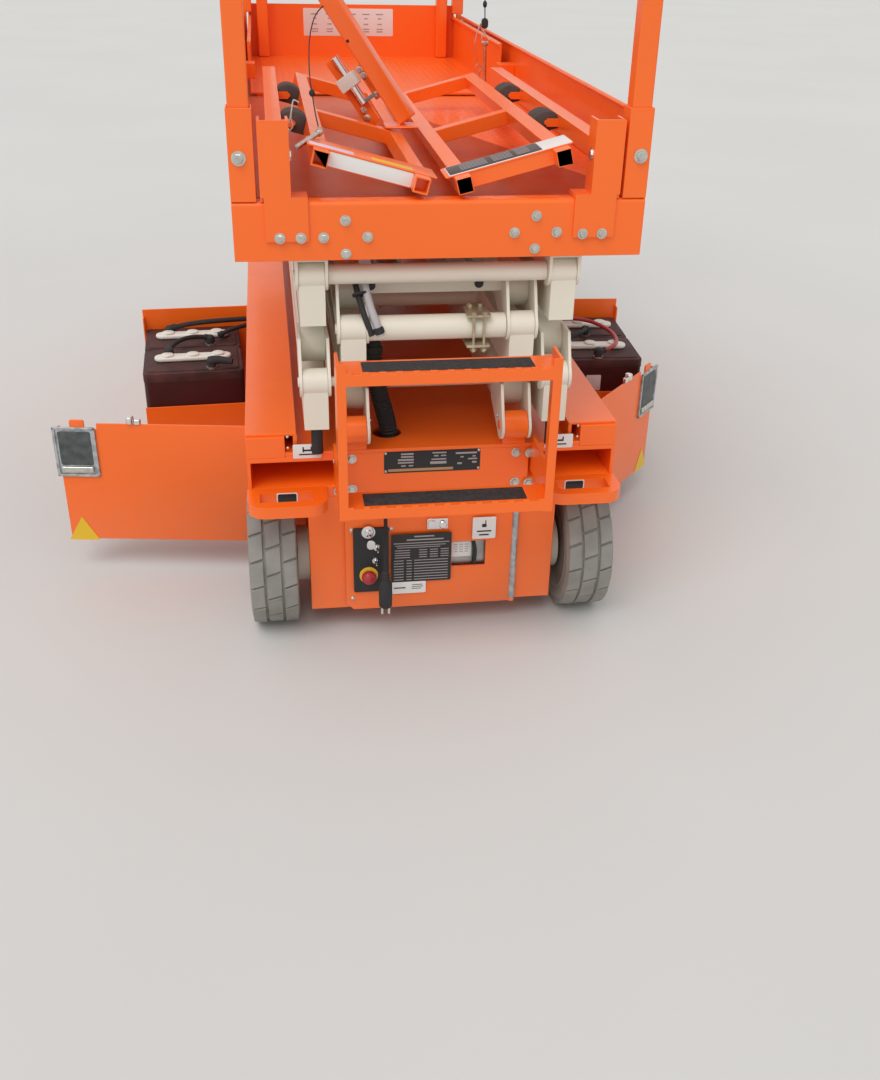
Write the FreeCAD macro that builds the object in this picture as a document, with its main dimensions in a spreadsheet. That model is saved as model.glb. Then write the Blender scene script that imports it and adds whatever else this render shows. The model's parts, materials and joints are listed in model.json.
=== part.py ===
import FreeCAD, Part
import Sketcher
import math
import os
import re

# Scissor lift, stowed. Millimetres, +Z up, +X to the machine's right, +Y to its front.
# The origin is on the floor, midway along the platform, on the centre line.

SIZES = {
    # platform
    "deck_half": 390, "deck_rear": -1130, "deck_long": 2260, "deck_top": 975, "deck_skin": 4,
    "frame_low": 866, "frame_wide": 40, "edge_round": 9, "joist_high": 50, "joist_wide": 30,
    "toe_top": 1120, "toe_wall": 4, "toe_start": 147, "toe_roll": 5, "side_beam": 20, "track_half": 20,
    "sleeve_out": 46, "sleeve_high": 162, "sleeve_wall": 3, "foot_high": 8, "post_side": 38, "rail_top": 2075,
    "rail_mid": 1530, "front_post_set": 70, "foot_wide": 20, "foot_over": 6, "foot_gap": 0.5,
    # stubs of the folding gates
    "stub_set": 53, "stub_wide": 56, "stub_deep": 45, "stub_top": 1117, "stub_wall": 5, "plate_in": 139,
    "plate_wide": 80, "plate_drop": 72, "plate_lip": 48, "plate_lip_thick": 8,
    # roll-out deck
    "ext_long": 910, "ext_side_gap": 30, "ext_wall": 4, "ext_gap": 3, "runner_gap": 0.3, "runner_wide": 20,
    "ext_floor": 5, "ext_top": 1116, "ext_front_set": 20, "ext_front_top": 1150, "ext_post_set": 29,
    "ext_rail_drop": 10, "guide_long": 60, "guide_gap": 10, "guide_high": 40, "guide_in": 18,
    "box_wide": 180, "box_gap": 2, "box_deep": 130, "box_high": 150, "box_drop": 60, "hook_wide": 116,
    "hook_set": 34, "hook_thick": 6, "hook_over": 4,
    # folded gates
    "fold_z": 1060, "fold_set": 20, "gate_post_set": 85, "gate_post_side": 32, "gate_long": 1100,
    "leaf_axis_set": 40, "leaf_tube": 30, "leaf_in": 40, "leaf_gap": 26, "leaf_long": 1080, "leaf_sag": 14.73,
    "leaf_near": 30, "leaf_mouth": 23, "leaf_mouth_deep": 27, "leaf_pin": 5, "cover_round": 20, "cover_long": 62,
    "cover_near": 330, "cover_pitch": 390, "leaf_mid": 480, "hinge_lug": 5, "hinge_lug_gap": 2,
    "hinge_lug_half": 8, "bar_side": 38, "bar_long": 330, "bar_x": -8, "bar_y": -620, "bar_lean": 36,
    "bar_yaw": 20, "bar_foot_left": -60, "bar_foot_right": 14, "bar_foot_half": 30, "bar_foot_high": 6,
    "bar_foot_in": 10, "plunger_r": 9, "plunger_start": 42, "plunger_end": 150, "plunger_mid": 92,
    "plunger_off": 58, "plunger_arm_half": 4, "plunger_arm_high": 16,
    # scissor stack
    "pin_set": 50, "span": 1930, "pin_low": 495, "pitch": 110, "arm_high": 80, "arm_wide": 50,
    "inner_x": 170, "outer_x": 248, "boss_r": 28, "nose": 25, "web_half": 22, "ear_r": 30, "ear_wall": 6,
    "ear_gap": 0.5, "ear_reach": 110, "ear_start": 8, "ear_trim": 6, "ear_heel": 20, "ear_drop": 22,
    "weld_far": 50, "weld_near": 10, "weld_half": 20, "tube_set": 48, "pin_r": 10, "pin_fit": 0.05,
    "open_fit": 1, "pin_over": 3, "centre_r": 14, "centre_set": 2, "cross_r": 20, "cross_gap": 1,
    "top_cross_r": 19, "mid_cross_r": 25, "lower_cross_set": 150, "middle_cross_set": 380, "tie_set": 52,
    "tie_thick": 6, "tie_high": 32, "roller_seat": 0.3, "roller_side": 2, "upper_roller_x": 127,
    "upper_roller_wide": 30, "upper_axle_r": 15, "bracket_top_thick": 8, "bracket_tie_thick": 6,
    "bracket_tie_high": 18,
    # lift cylinder
    "ram_y": -250, "ram_z": 530, "ram_run": 910, "ram_rise": 140, "barrel_r": 42, "rod_r": 22, "bore_gap": 0.5,
    "barrel_set": 70, "barrel_long": 700, "barrel_floor": 20, "collar_over": 4, "collar_long": 30,
    "eye_r": 27, "eye_half": 28, "clevis_in": 32, "clevis_wall": 10, "clevis_r": 36, "stub_tube_r": 25,
    "rod_in": 130, "ram_pin_r": 12, "ram_pin_over": 1,
    # chassis
    "face_set": 45, "chassis_long": 2170, "side_half": 395, "beam_in": 315, "beam_low": 440, "cover_low": 487,
    "cover_top": 492, "cover_in": 290, "cover_over": 1, "cover_set": 9, "floor_low": 444, "floor_top": 452,
    "plate": 8, "pocket_in": 205, "pocket_out": 388, "pocket_low": 371, "pocket_top": 430, "pocket_deep": 285,
    "pocket_wall": 6, "face_low": 345, "mid_half": 273, "mid_low": 63, "mid_front": 295, "cabinet_deep": 120,
    "cabinet_in": 186, "cabinet_out": 174, "cabinet_low": 72, "cabinet_top": 292,
    "loop_in": 232, "loop_out": 398, "loop_low": 345, "loop_top": 371, "loop_long": 90, "slot_in": 262,
    "slot_out": 372, "slot_near": 22, "slot_far": 65, "loop_round": 40, "bay_inset": 5,
    "bay_rear": -790, "bay_front": -30, "bay_wall": 8, "arch_rear": 680, "spine_half": 150, "side_wall": 5,
    "hole_x": -94, "hole_set": 88, "hole_r": 31, "front_beam": 25, "lug_in": 300, "lug_wall": 15,
    "lug_long": 60, "lug_low": 360, "lug_top": 440, "lug_bore": 16, "rest_r": 12, "rest_set": 8,
    # wheels and steering
    "wheel_r": 155, "wheel_out": 405, "tyre_wide": 105, "rim_r": 105, "rim_side": 4, "hub_r": 62,
    "rear_axle_set": 146, "wheel_base": 1850, "king_x": 340, "king_r": 25, "king_fit": 0.05, "king_house_r": 36,
    "king_arm": 60, "king_gap": 5, "yoke_low": 318, "yoke_top": 330, "yoke_half": 60, "yoke_in": 285,
    "cheek_thick": 10, "cheek_drop": 65, "motor_r": 55, "motor_in": 225, "stub_axle_r": 20,
    "stub_axle_set": 12, "axle_fit": 0.05, "hub_gap": 2,
    # ladder
    "ladder_half": 215, "ladder_wall": 6, "ladder_flange": 18, "ladder_front": 190, "ladder_deep": 70,
    "ladder_low": 385, "ladder_top": 712, "step_one": 410, "step_pitch": 281, "step_lip": 23, "step_deep": 77,
    "step_wall": 3, "tooth_count": 13, "tooth_wide": 14, "tooth_high": 4, "foot_low": 390, "foot_top": 470,
    # rear door
    "door_in": -195, "door_out": 182, "door_low": 62, "door_top": 298, "door_gap": 5, "door_wall": 5,
    "door_round": 16, "tab_left": -127, "tab_right": -93, "tab_top": 340, "hinge_r": 6, "hinge_gap": 0.3,
    "panel_left": -178, "panel_right": -100, "panel_low": 110, "panel_top": 271, "panel_wall": 6, "stop_x": -145, "stop_z": 154,
    "stop_r": 16, "stop_stem": 12, "stop_head": 14, "window_left": 41, "window_right": 117, "window_low": 161,
    "window_top": 224, "charger_left": 20, "charger_right": 160, "charger_top": 262, "charger_set": 2,
    "lead_r": 4, "gland_x": -110, "gland_z": 325, "gland_r": 8, "gland_long": 6, "plug_x": -113, "plug_r": 15,
    "plug_neck_r": 10, "lead_off": 64.3, "plug_top": 196, "plug_neck": 30, "plug_low": 104, "prong_long": 20,
    "prong_r": 3,
    # side doors and battery trays
    "side_door_long": 445, "side_door_low": 85, "side_door_top": 390, "side_door_wall": 4, "side_hinge_x": 399,
    "side_hinge_y": -793, "side_flange": 18, "left_door_open": 82, "right_door_open": 41, "latch_drop": 14,
    "latch_long": 95, "tray_hinge_x": 399, "tray_hinge_y": -36, "tray_open": 87, "tray_skin": 295,
    "tray_low": 80, "tray_top": 440, "tray_wall": 4, "tray_floor": 96, "tray_root": 30, "tray_plate": 6,
    "tray_lip": 295, "tray_side": 60, "tray_flange": 25, "flange_drop": 20, "battery_long": 256,
    "battery_wide": 178, "battery_pitch": 182, "battery_high": 287, "battery_in": 12, "battery_gap": 1,
    "cap_long": 200, "cap_wide": 38, "cap_high": 16,
}

doc = FreeCAD.newDocument("ScissorLift")
sheet = doc.addObject("Spreadsheet::Sheet", "Sizes")
for row, (alias, value) in enumerate(SIZES.items(), 1):
    sheet.set("A%d" % row, alias)
    sheet.set("B%d" % row, str(value))
    sheet.setAlias("B%d" % row, alias)
doc.recompute()

NODES = []


def tied(text):
    """Names of the sheet in an expression get the sheet's own name in front."""
    return re.sub(r"[a-z][a-z_0-9]*", lambda word: "Sizes." + word.group(0) if word.group(0) in SIZES
                  else word.group(0), str(text))


def bind(item, prop, text):
    item.setExpression(prop, tied(text))


def place(item, x, y, z):
    """Ties the place of an object to three expressions."""
    for axis, text in (("x", x), ("y", y), ("z", z)):
        bind(item, "Placement.Base." + axis, text)


def block(name, x, y, z):
    """A box from its low to its high corner; each side is a pair of expressions."""
    item = doc.addObject("Part::Box", name)
    for prop, (low, high) in (("Length", x), ("Width", y), ("Height", z)):
        bind(item, prop, "(%s) - (%s)" % (high, low))
    place(item, x[0], y[0], z[0])
    return item


TURNS = {"x": FreeCAD.Rotation(FreeCAD.Vector(0, 1, 0), 90), "y": FreeCAD.Rotation(FreeCAD.Vector(1, 0, 0), -90),
         "z": FreeCAD.Rotation()}


def rod(name, axis, radius, low, high, a, b):
    """A cylinder along an axis from low to high; a and b are its centre on the two other axes."""
    item = doc.addObject("Part::Cylinder", name)
    bind(item, "Radius", radius)
    bind(item, "Height", "(%s) - (%s)" % (high, low))
    item.Placement = FreeCAD.Placement(FreeCAD.Vector(), TURNS[axis])
    place(item, *{"x": (low, a, b), "y": (a, low, b), "z": (a, b, low)}[axis])
    return item


def body_plane(body, plane):
    return next(item for item in body.Origin.OriginFeatures if item.Role == plane)


def prism(name, plane, points, low, high):
    """A sketched outline, padded from low to high along the plane's normal axis."""
    body = doc.addObject("PartDesign::Body", name)
    sketch = body.newObject("Sketcher::SketchObject", name + "_outline")
    sketch.AttachmentSupport = [(body_plane(body, plane + "_Plane"), "")]
    sketch.MapMode = "FlatFace"
    bind(sketch, "AttachmentOffset.Base.z", "-(%s)" % high if plane == "XZ" else low)
    count = len(points)
    corners = [FreeCAD.Vector(number, number % 3, 0) for number in range(count)]
    for number in range(count):
        sketch.addGeometry(Part.LineSegment(corners[number], corners[(number + 1) % count]))
    for number, point in enumerate(points):
        sketch.addConstraint(Sketcher.Constraint("Coincident", number, 2, (number + 1) % count, 1))
        for kind, text in zip(("DistanceX", "DistanceY"), point):
            index = sketch.addConstraint(Sketcher.Constraint(kind, -1, 1, number, 1, 1.0))
            bind(sketch, "Constraints[%d]" % index, text)
    pad = body.newObject("PartDesign::Pad", name + "_pad")
    pad.Profile = sketch
    bind(pad, "Length", "(%s) - (%s)" % (high, low))
    body.Tip = pad
    sketch.Visibility = False
    return body


def fuse(name, *parts):
    item = doc.addObject("Part::MultiFuse", name)
    item.Shapes = list(parts)
    return item


def cut(name, base, *tools):
    item = doc.addObject("Part::Cut", name)
    item.Base = base
    item.Tool = tools[0] if len(tools) == 1 else fuse(name + "_tools", *tools)
    return item


def mirrored(name, part):
    """The same piece on the other side of the centre line."""
    item = doc.addObject("Part::Mirroring", name)
    item.Source = part
    item.Normal = FreeCAD.Vector(1, 0, 0)
    return item


def both(name, part):
    return fuse(name, part, mirrored(name + "_other", part))


def pair(name, part):
    """The piece and its mirror image, as plates that touch but stay solids of their own."""
    return [part, mirrored(name + "_other", part)]


def welded(name, *parts):
    """Plates and tubes that lie face to face, each kept as a solid."""
    item = doc.addObject("Part::Compound", name)
    item.Links = list(parts)
    return item


def moved(name, part, x, y, z, axis=None, angle="0"):
    """A copy of a piece drawn at the origin, turned about an axis and put in its place."""
    item = doc.addObject("Part::Compound", name)
    item.Links = [part]
    if axis is not None:
        item.Placement = FreeCAD.Placement(FreeCAD.Vector(), FreeCAD.Rotation(axis, 1.0))
        bind(item, "Placement.Rotation.Angle", angle)
    place(item, x, y, z)
    return item


def node(name, part):
    """Names the finished piece and puts it on the list of files to write."""
    part.Label = name
    NODES.append(part)
    return part


X_AXIS = FreeCAD.Vector(1, 0, 0)
Y_AXIS = FreeCAD.Vector(0, 1, 0)
Z_AXIS = FreeCAD.Vector(0, 0, 1)

DECK_FRONT = "(deck_rear + deck_long)"
FACE = "(deck_rear + face_set)"
NOSE_END = "(deck_rear + face_set + chassis_long)"
REAR_AXLE = "(deck_rear + rear_axle_set)"
FRONT_AXLE = "(deck_rear + rear_axle_set + wheel_base)"
REAR_PIN = "(deck_rear + pin_set)"
FRONT_PIN = "(deck_rear + pin_set + span)"
MIDDLE_PIN = "(deck_rear + pin_set + span / 2)"
EXT_HALF = "(deck_half - ext_side_gap)"
EXT_REAR = "(deck_rear + deck_long - ext_front_set - ext_long)"
EXT_FRONT = "(deck_rear + deck_long - ext_front_set)"
STUB_OUT = "(deck_half - stub_set)"
STUB_IN = "(deck_half - stub_set - stub_wide)"
GATE_POST_X = "(deck_half - gate_post_set)"
LEAF_AXIS_X = "(deck_half - gate_post_set - leaf_axis_set)"
LEAF_OUT = "((deck_half - gate_post_set - leaf_axis_set - leaf_gap) / cos(leaf_sag) - leaf_tube / 2)"


def pin_height(level):
    return "(pin_low + %s * pitch)" % level


# Chassis

def rear_frame():
    """Rear face with the fork pockets behind it."""
    face = block("rear_face", ("0", "beam_in"), (FACE, FACE + " + plate"), ("face_low", "floor_low"))
    face_side = block("rear_face_side", ("beam_in", "side_half"), (FACE, FACE + " + plate"),
                      ("face_low", "beam_low"))
    pocket = block("pocket_tube", ("pocket_in - pocket_wall", "side_half"), (FACE, FACE + " + pocket_deep"),
                   ("pocket_low - pocket_wall", "pocket_top + pocket_wall"))
    back = block("pocket_back", ("0", "side_hinge_x - hinge_r - hinge_gap"),
                 (FACE + " + pocket_deep", FACE + " + pocket_deep + plate"), ("face_low", "beam_low"))
    room = block("pocket_room", ("pocket_in", "pocket_out"), (FACE + " - 1", FACE + " + pocket_deep"),
                 ("pocket_low", "pocket_top"))
    half = cut("rear_half", fuse("rear_solid", face, face_side, pocket, back), room)
    return node("rear_frame", both("rear_frame", half))


def rear_cabinet():
    """Box between the rear wheels, open behind the rear door."""
    outside = block("cabinet_outside", ("-mid_half", "mid_half"), (FACE, FACE + " + mid_front"),
                    ("mid_low", "face_low"))
    inside = block("cabinet_inside", ("-cabinet_in", "cabinet_out"), (FACE + " - 1", FACE + " + cabinet_deep"),
                   ("cabinet_low", "cabinet_top"))
    return node("rear_cabinet", cut("rear_cabinet", outside, inside))


def tie_loops():
    """Slotted tie-down plates that stand out of the rear face above the wheels."""
    near = FACE + " - loop_long"
    bar = fuse("loop_bar",
               block("loop_body", ("loop_in + loop_round", "loop_out - loop_round"), (near, FACE),
                     ("loop_low", "loop_top")),
               block("loop_root", ("loop_in", "loop_out"), (near + " + loop_round", FACE),
                     ("loop_low", "loop_top")),
               rod("loop_inner_round", "z", "loop_round", "loop_low", "loop_top", "loop_in + loop_round",
                   near + " + loop_round"),
               rod("loop_outer_round", "z", "loop_round", "loop_low", "loop_top", "loop_out - loop_round",
                   near + " + loop_round"))
    slot = block("loop_slot", ("slot_in", "slot_out"), (FACE + " - slot_far", FACE + " - slot_near"),
                 ("loop_low - 1", "loop_top + 1"))
    return node("tie_loops", both("tie_loops", cut("loop_plate", bar, slot)))


def deck_frame():
    """Top beams with their cover slabs and webs, the floor under the arms and the rear pin blocks."""
    run = (FACE + " + cover_set", NOSE_END)
    half = "arm_wide / 2"
    beam = block("top_beam", ("beam_in", "side_half"), (FACE, NOSE_END), ("beam_low", "cover_low"))
    slab = block("cover_slab", ("cover_in", "side_half + cover_over"), run, ("cover_low", "cover_top"))
    web = block("slab_web", ("cover_in", "cover_in + plate"), run, ("floor_top", "cover_low"))
    floor = cut("arm_floor",
                block("arm_floor_plate", ("-beam_in", "beam_in"), (FACE, NOSE_END), ("floor_low", "floor_top")),
                rod("hose_hole", "z", "hole_r", "floor_low - 1", "floor_top + 1", "hole_x", FACE + " + hole_set"))
    stand = fuse("pin_block",
                 block("pin_stand", ("inner_x - " + half, "inner_x + " + half), (FACE, REAR_PIN + " + ear_r"),
                       ("floor_top", "pin_low")),
                 rod("pin_cap", "x", "ear_r", "inner_x - " + half, "inner_x + " + half, REAR_PIN, "pin_low"),
                 rod("pin_bar", "x", "pin_r", "inner_x - " + half + " - ear_wall - pin_over",
                     "inner_x + " + half + " + ear_wall + pin_over", REAR_PIN, "pin_low"))
    plates = [floor] + pair("beams", beam) + pair("slabs", slab) + pair("webs", web) + pair("pin_blocks", stand)
    return node("deck_frame", welded("deck_frame", *plates))


def bay_frame():
    """Pan and bulkheads round the open battery bay, and the closed bay ahead of it."""
    pan = block("bay_pan", ("0", "side_half - bay_inset"), ("bay_rear", "arch_rear"),
                ("mid_low", "mid_low + plate"))
    walls = [block("bulkhead_" + label, ("0", "side_half - bay_inset"), (start, start + " + bay_wall"),
                   ("mid_low + plate", "beam_low"))
             for label, start in (("rear", "bay_rear"), ("middle", "bay_front"),
                                  ("front", "arch_rear - bay_wall"))]
    panel = block("forward_panel", ("side_half - bay_inset - side_wall", "side_half - bay_inset"),
                  ("bay_front", "arch_rear"), ("mid_low + plate", "beam_low"))
    return node("bay_frame", both("bay_frame", fuse("bay_half", pan, panel, *walls)))


def front_frame():
    """Spine between the steered wheels, with the kingpin houses on its arms."""
    spine = block("spine", ("0", "spine_half"), ("arch_rear", NOSE_END + " - front_beam"),
                  ("mid_low", "floor_low"))
    house = cut("king_house",
                fuse("king_house_solid",
                     rod("king_house_tube", "z", "king_house_r", "face_low", "beam_low", "king_x", FRONT_AXLE),
                     block("king_house_arm", ("spine_half", "king_x"),
                           (FRONT_AXLE + " - king_house_r", FRONT_AXLE + " + king_house_r"),
                           ("beam_low - king_arm", "beam_low"))),
                rod("king_bore", "z", "king_r + king_fit", "face_low - 1", "beam_low + 1", "king_x",
                    FRONT_AXLE))
    return node("front_frame", both("front_frame", fuse("front_half", spine, house)))


def front_beam():
    """Cross beam at the nose with two tie-down lugs."""
    beam = block("front_beam_bar", ("0", "side_half"), (NOSE_END + " - front_beam", NOSE_END),
                 ("face_low", "beam_low"))
    middle = "(lug_low + lug_top) / 2"
    reach = NOSE_END + " + lug_long / 2"
    lug = cut("lug_plate",
              fuse("lug_solid",
                   block("lug_bar", ("lug_in", "lug_in + lug_wall"), (NOSE_END, reach), ("lug_low", "lug_top")),
                   rod("lug_round", "x", "(lug_top - lug_low) / 2", "lug_in", "lug_in + lug_wall", reach,
                       middle)),
              rod("lug_hole", "x", "lug_bore", "lug_in - 1", "lug_in + lug_wall + 1", reach, middle))
    return node("front_beam", both("front_beam", fuse("front_beam_half", beam, lug)))


def rear_hubs():
    """Brake housings and stub axles of the rear wheels."""
    house = rod("brake_house", "x", "hub_r", "mid_half", "wheel_out - tyre_wide - hub_gap", REAR_AXLE, "wheel_r")
    axle = rod("rear_stub", "x", "stub_axle_r", "mid_half", "wheel_out - stub_axle_set", REAR_AXLE, "wheel_r")
    return node("rear_hubs", both("rear_hubs", fuse("rear_hub", house, axle)))


def rest_pads():
    """Rubber pads under the noses of the lowest arms."""
    pad = rod("rest_pad", "z", "rest_r", "floor_top", pin_height("0.5") + " - arm_high / 2 - roller_seat",
              "outer_x", REAR_PIN + " - rest_set")
    return node("rest_pads", both("rest_pads", pad))


def ladder():
    """Two stringers, two steps with toothed edges, and the feet that bolt to the rear face."""
    front = "(" + FACE + " - ladder_front)"
    rail = block("stringer", ("ladder_half - ladder_wall", "ladder_half"), (front, front + " + ladder_deep"),
                 ("ladder_low", "ladder_top"))
    flange = block("stringer_flange", ("ladder_half - ladder_flange", "ladder_half"),
                   (front, front + " + step_wall"), ("ladder_low", "ladder_top"))
    foot = block("stringer_foot", ("ladder_half - ladder_wall", "ladder_half"), (front + " + ladder_deep", FACE),
                 ("foot_low", "foot_top"))
    side = both("stringers", fuse("stringer_side", rail, flange, foot))
    parts = [side]
    inner = "(ladder_half - ladder_wall)"
    for number, height in enumerate(("step_one", "(step_one + step_pitch)")):
        label = "step_%d" % (number + 1)
        parts.append(block(label + "_tread", ("-" + inner, inner), (front, front + " + step_deep"),
                           (height + " - step_wall", height)))
        parts.append(block(label + "_lip", ("-" + inner, inner), (front, front + " + step_wall"),
                           (height + " - step_lip", height)))
        pitch = "(2 * " + inner + " / tooth_count)"
        for tooth in range(SIZES["tooth_count"]):
            middle = "(-" + inner + " + " + pitch + " * %g)" % (tooth + 0.5)
            parts.append(block("%s_tooth_%d" % (label, tooth + 1),
                               (middle + " - tooth_wide / 2", middle + " + tooth_wide / 2"),
                               (front, front + " + 2 * step_wall"), (height, height + " + tooth_high")))
    return node("ladder", fuse("ladder", *parts))


# Rear centre door

def rear_door():
    """Flat door with a window and a lead tab, on a long piano hinge at its right edge."""
    back = "(" + FACE + " - door_gap)"
    front = "(" + FACE + " - door_gap - door_wall)"
    panel_front = "(" + FACE + " - door_gap - door_wall - panel_wall)"
    outline = [("door_in", "door_low + door_round"), ("door_in + door_round", "door_low"),
               ("door_out - hinge_r", "door_low"), ("door_out - hinge_r", "door_top"),
               ("tab_right", "door_top"), ("tab_right", "tab_top"), ("tab_left", "tab_top"),
               ("tab_left", "door_top"), ("door_in", "door_top")]
    sheet_metal = prism("door_sheet", "XZ", outline, front, back)
    window = block("door_window", ("window_left", "window_right"), (front + " - 1", FACE),
                   ("window_low", "window_top"))
    knuckle = rod("door_knuckle", "z", "door_gap + door_wall / 2 - hinge_gap", "door_low", "door_top", "door_out",
                  front + " + door_wall / 2")
    gland = rod("lead_gland", "y", "gland_r", front + " - gland_long", front, "gland_x", "gland_z")
    node("rear_door", fuse("rear_door", cut("door_leaf", sheet_metal, window), knuckle, gland))
    node("control_panel", block("panel_plate", ("panel_left", "panel_right"), (panel_front, front),
                                ("panel_low", "panel_top")))
    stem = rod("stop_stem_rod", "y", "stop_r * 0.6", panel_front + " - stop_stem", panel_front, "stop_x",
               "stop_z")
    head = rod("stop_head_disc", "y", "stop_r", panel_front + " - stop_stem - stop_head",
               panel_front + " - stop_stem", "stop_x", "stop_z")
    node("stop_button", fuse("stop_button", stem, head))
    node("charger", block("charger_case", ("charger_left", "charger_right"),
                          (FACE + " + charger_set", FACE + " + cabinet_deep"), ("cabinet_low", "charger_top")))
    plug_y = FACE + " - door_gap - lead_off"
    plug = fuse("plug_body",
                rod("plug_neck_rod", "z", "plug_neck_r", "plug_top - plug_neck", "plug_top", "plug_x", plug_y),
                rod("plug_head", "z", "plug_r", "plug_low", "plug_top - plug_neck", "plug_x", plug_y))
    prongs = [rod("plug_prong_%d" % number, "z", "prong_r", "plug_low - prong_long", "plug_low",
                  "plug_x + %d * plug_r / 2" % offset, plug_y)
              for number, offset in ((1, -1), (2, 1))]
    node("lead_plug", fuse("lead_plug", plug, *prongs))


def cord(name, points, radius):
    """Round cord on straight runs joined by tangent arcs, as wide as the shorter run at each corner allows."""
    spots = [FreeCAD.Vector(*point) for point in points]
    edges = []
    start = spots[0]
    for before, corner, after in zip(spots, spots[1:], spots[2:]):
        arrive = corner - before
        leave = after - corner
        setback = 0.45 * min(arrive.Length, leave.Length)
        turn = arrive.getAngle(leave)
        bend = setback / math.tan(turn / 2)
        arrive.normalize()
        leave.normalize()
        inward = leave - arrive
        inward.normalize()
        first = corner - arrive * setback
        last = corner + leave * setback
        middle = corner + inward * (bend / math.cos(turn / 2) - bend)
        edges += [Part.LineSegment(start, first).toShape(), Part.Arc(first, middle, last).toShape()]
        print(name, "bend radius", round(bend, 1))
        start = last
    edges.append(Part.LineSegment(start, spots[-1]).toShape())
    ring = Part.Wire([Part.Circle(spots[0], spots[1] - spots[0], radius).toShape()])
    item = doc.addObject("Part::Feature", name)
    item.Shape = Part.Wire(edges).makePipeShell([ring], True, False)
    return node(name, item)


# Points of the charging lead, out of its gland, over and down to the plug.
LEAD_ROUTE = [
    (-110, -1101, 325),
    (-110.2, -1118.7, 325),
    (-110.8, -1135.1, 318.2),
    (-111.6, -1147.6, 305.7),
    (-112.4, -1154.3, 289.4),
    (-113.4, -1156, 259.4),
    (-113.8, -1155.2, 227.8),
    (-113, -1154.3, 196),
]


# Side bays

def side_door(side, angle):
    """Door drawn closed along +Y from its hinge, its outer face towards -X, then swung open."""
    wall = "side_door_wall"
    outline = [("0", "side_door_low"), ("side_door_long", "side_door_low"),
               ("side_door_long", "side_door_top - latch_drop"),
               ("side_door_long - latch_long", "side_door_top - latch_drop"),
               ("side_door_long - latch_long", "side_door_top"), ("0", "side_door_top")]
    leaf = prism("side_door_leaf_" + side, "YZ", outline, "-" + wall + " / 2", wall + " / 2")
    edge = block("side_door_edge_" + side, ("0", "side_flange"), ("side_door_long - " + wall, "side_door_long"),
                 ("side_door_low", "side_door_top - latch_drop"))
    knuckle = rod("side_door_knuckle_" + side, "z", "hinge_r", "side_door_low", "side_door_top", "0", "0")
    whole = fuse("side_door_shape_" + side, leaf, edge, knuckle)
    swung = moved("side_door_swung_" + side, whole, "-side_hinge_x", "side_hinge_y", "0", Z_AXIS, angle)
    if side == "right":
        swung = mirrored("side_door_right_place", swung)
    return node("side_door_" + side, swung)


def battery_tray(side):
    """Swing tray drawn closed: hinge at the origin, skin along -Y, floor and batteries towards +X."""
    back = "battery_in + 2 * battery_pitch + tray_wall"
    run = ("-tray_skin + tray_plate", "-tray_root")
    skin = block("tray_skin_" + side, ("0", "tray_wall"), ("-tray_skin", "-hinge_r"), ("tray_low", "tray_top"))
    flange = block("tray_flange_" + side, ("0", "tray_flange"), ("-tray_skin", "-tray_skin + tray_wall"),
                   ("tray_low", "tray_top - flange_drop"))
    floor = block("tray_floor_" + side, ("0", back), run, ("tray_floor", "tray_floor + tray_plate"))
    lip = block("tray_lip_" + side, (back + " - tray_wall", back), run, ("tray_floor", "tray_lip"))
    low_side = block("tray_side_" + side, ("0", back), ("-tray_skin + tray_wall", "-tray_skin + 2 * tray_wall"),
                     ("tray_floor", "tray_floor + tray_side"))
    knuckle = rod("tray_knuckle_" + side, "z", "hinge_r", "tray_low", "tray_top", "0", "0")
    strap = block("tray_strap_" + side, ("0", "tray_wall"), ("-hinge_r - 1", "0"), ("tray_low", "tray_top"))
    tray = fuse("tray_shape_" + side, skin, flange, floor, lip, low_side, knuckle, strap)
    cases = []
    caps = []
    for number in range(2):
        start = "(battery_in + %d * battery_pitch)" % number
        top = "(tray_floor + tray_plate + battery_high)"
        near = "(-tray_root - battery_gap)"
        cases.append(block("battery_%s_%d" % (side, number + 1), (start, start + " + battery_wide"),
                           (near + " - battery_long", near), ("tray_floor + tray_plate", top)))
        middle = "(" + start + " + battery_wide / 2)"
        caps.append(block("cap_%s_%d" % (side, number + 1),
                          (middle + " - cap_wide / 2", middle + " + cap_wide / 2"),
                          (near + " - (battery_long + cap_long) / 2", near + " - (battery_long - cap_long) / 2"),
                          (top, top + " + cap_high")))
    shapes = (("battery_tray_", tray), ("batteries_", fuse("cases_" + side, *cases, *caps)))
    for label, shape in shapes:
        swung = moved(label + side + "_swung", shape, "-tray_hinge_x", "tray_hinge_y", "0", Z_AXIS, "-tray_open")
        if side == "right":
            swung = mirrored(label + side + "_place", swung)
        node(label + side, swung)


# Wheels and steering

def wheel(name, side, axle):
    """Solid tyre with a bore, and the rim in it with a bore for the stub axle."""
    low = "(wheel_out - tyre_wide)" if side == "right" else "(-wheel_out)"
    high = "wheel_out" if side == "right" else "(tyre_wide - wheel_out)"
    tyre = cut("tyre_shape_" + name, rod("tyre_solid_" + name, "x", "wheel_r", low, high, axle, "wheel_r"),
               rod("tyre_bore_" + name, "x", "rim_r", low + " - 1", high + " + 1", axle, "wheel_r"))
    rim = cut("rim_shape_" + name,
              rod("rim_solid_" + name, "x", "rim_r", low + " + rim_side", high + " - rim_side", axle, "wheel_r"),
              rod("rim_bore_" + name, "x", "stub_axle_r + axle_fit", low, high, axle, "wheel_r"))
    node("tyre_" + name, tyre)
    node("rim_" + name, rim)


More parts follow.
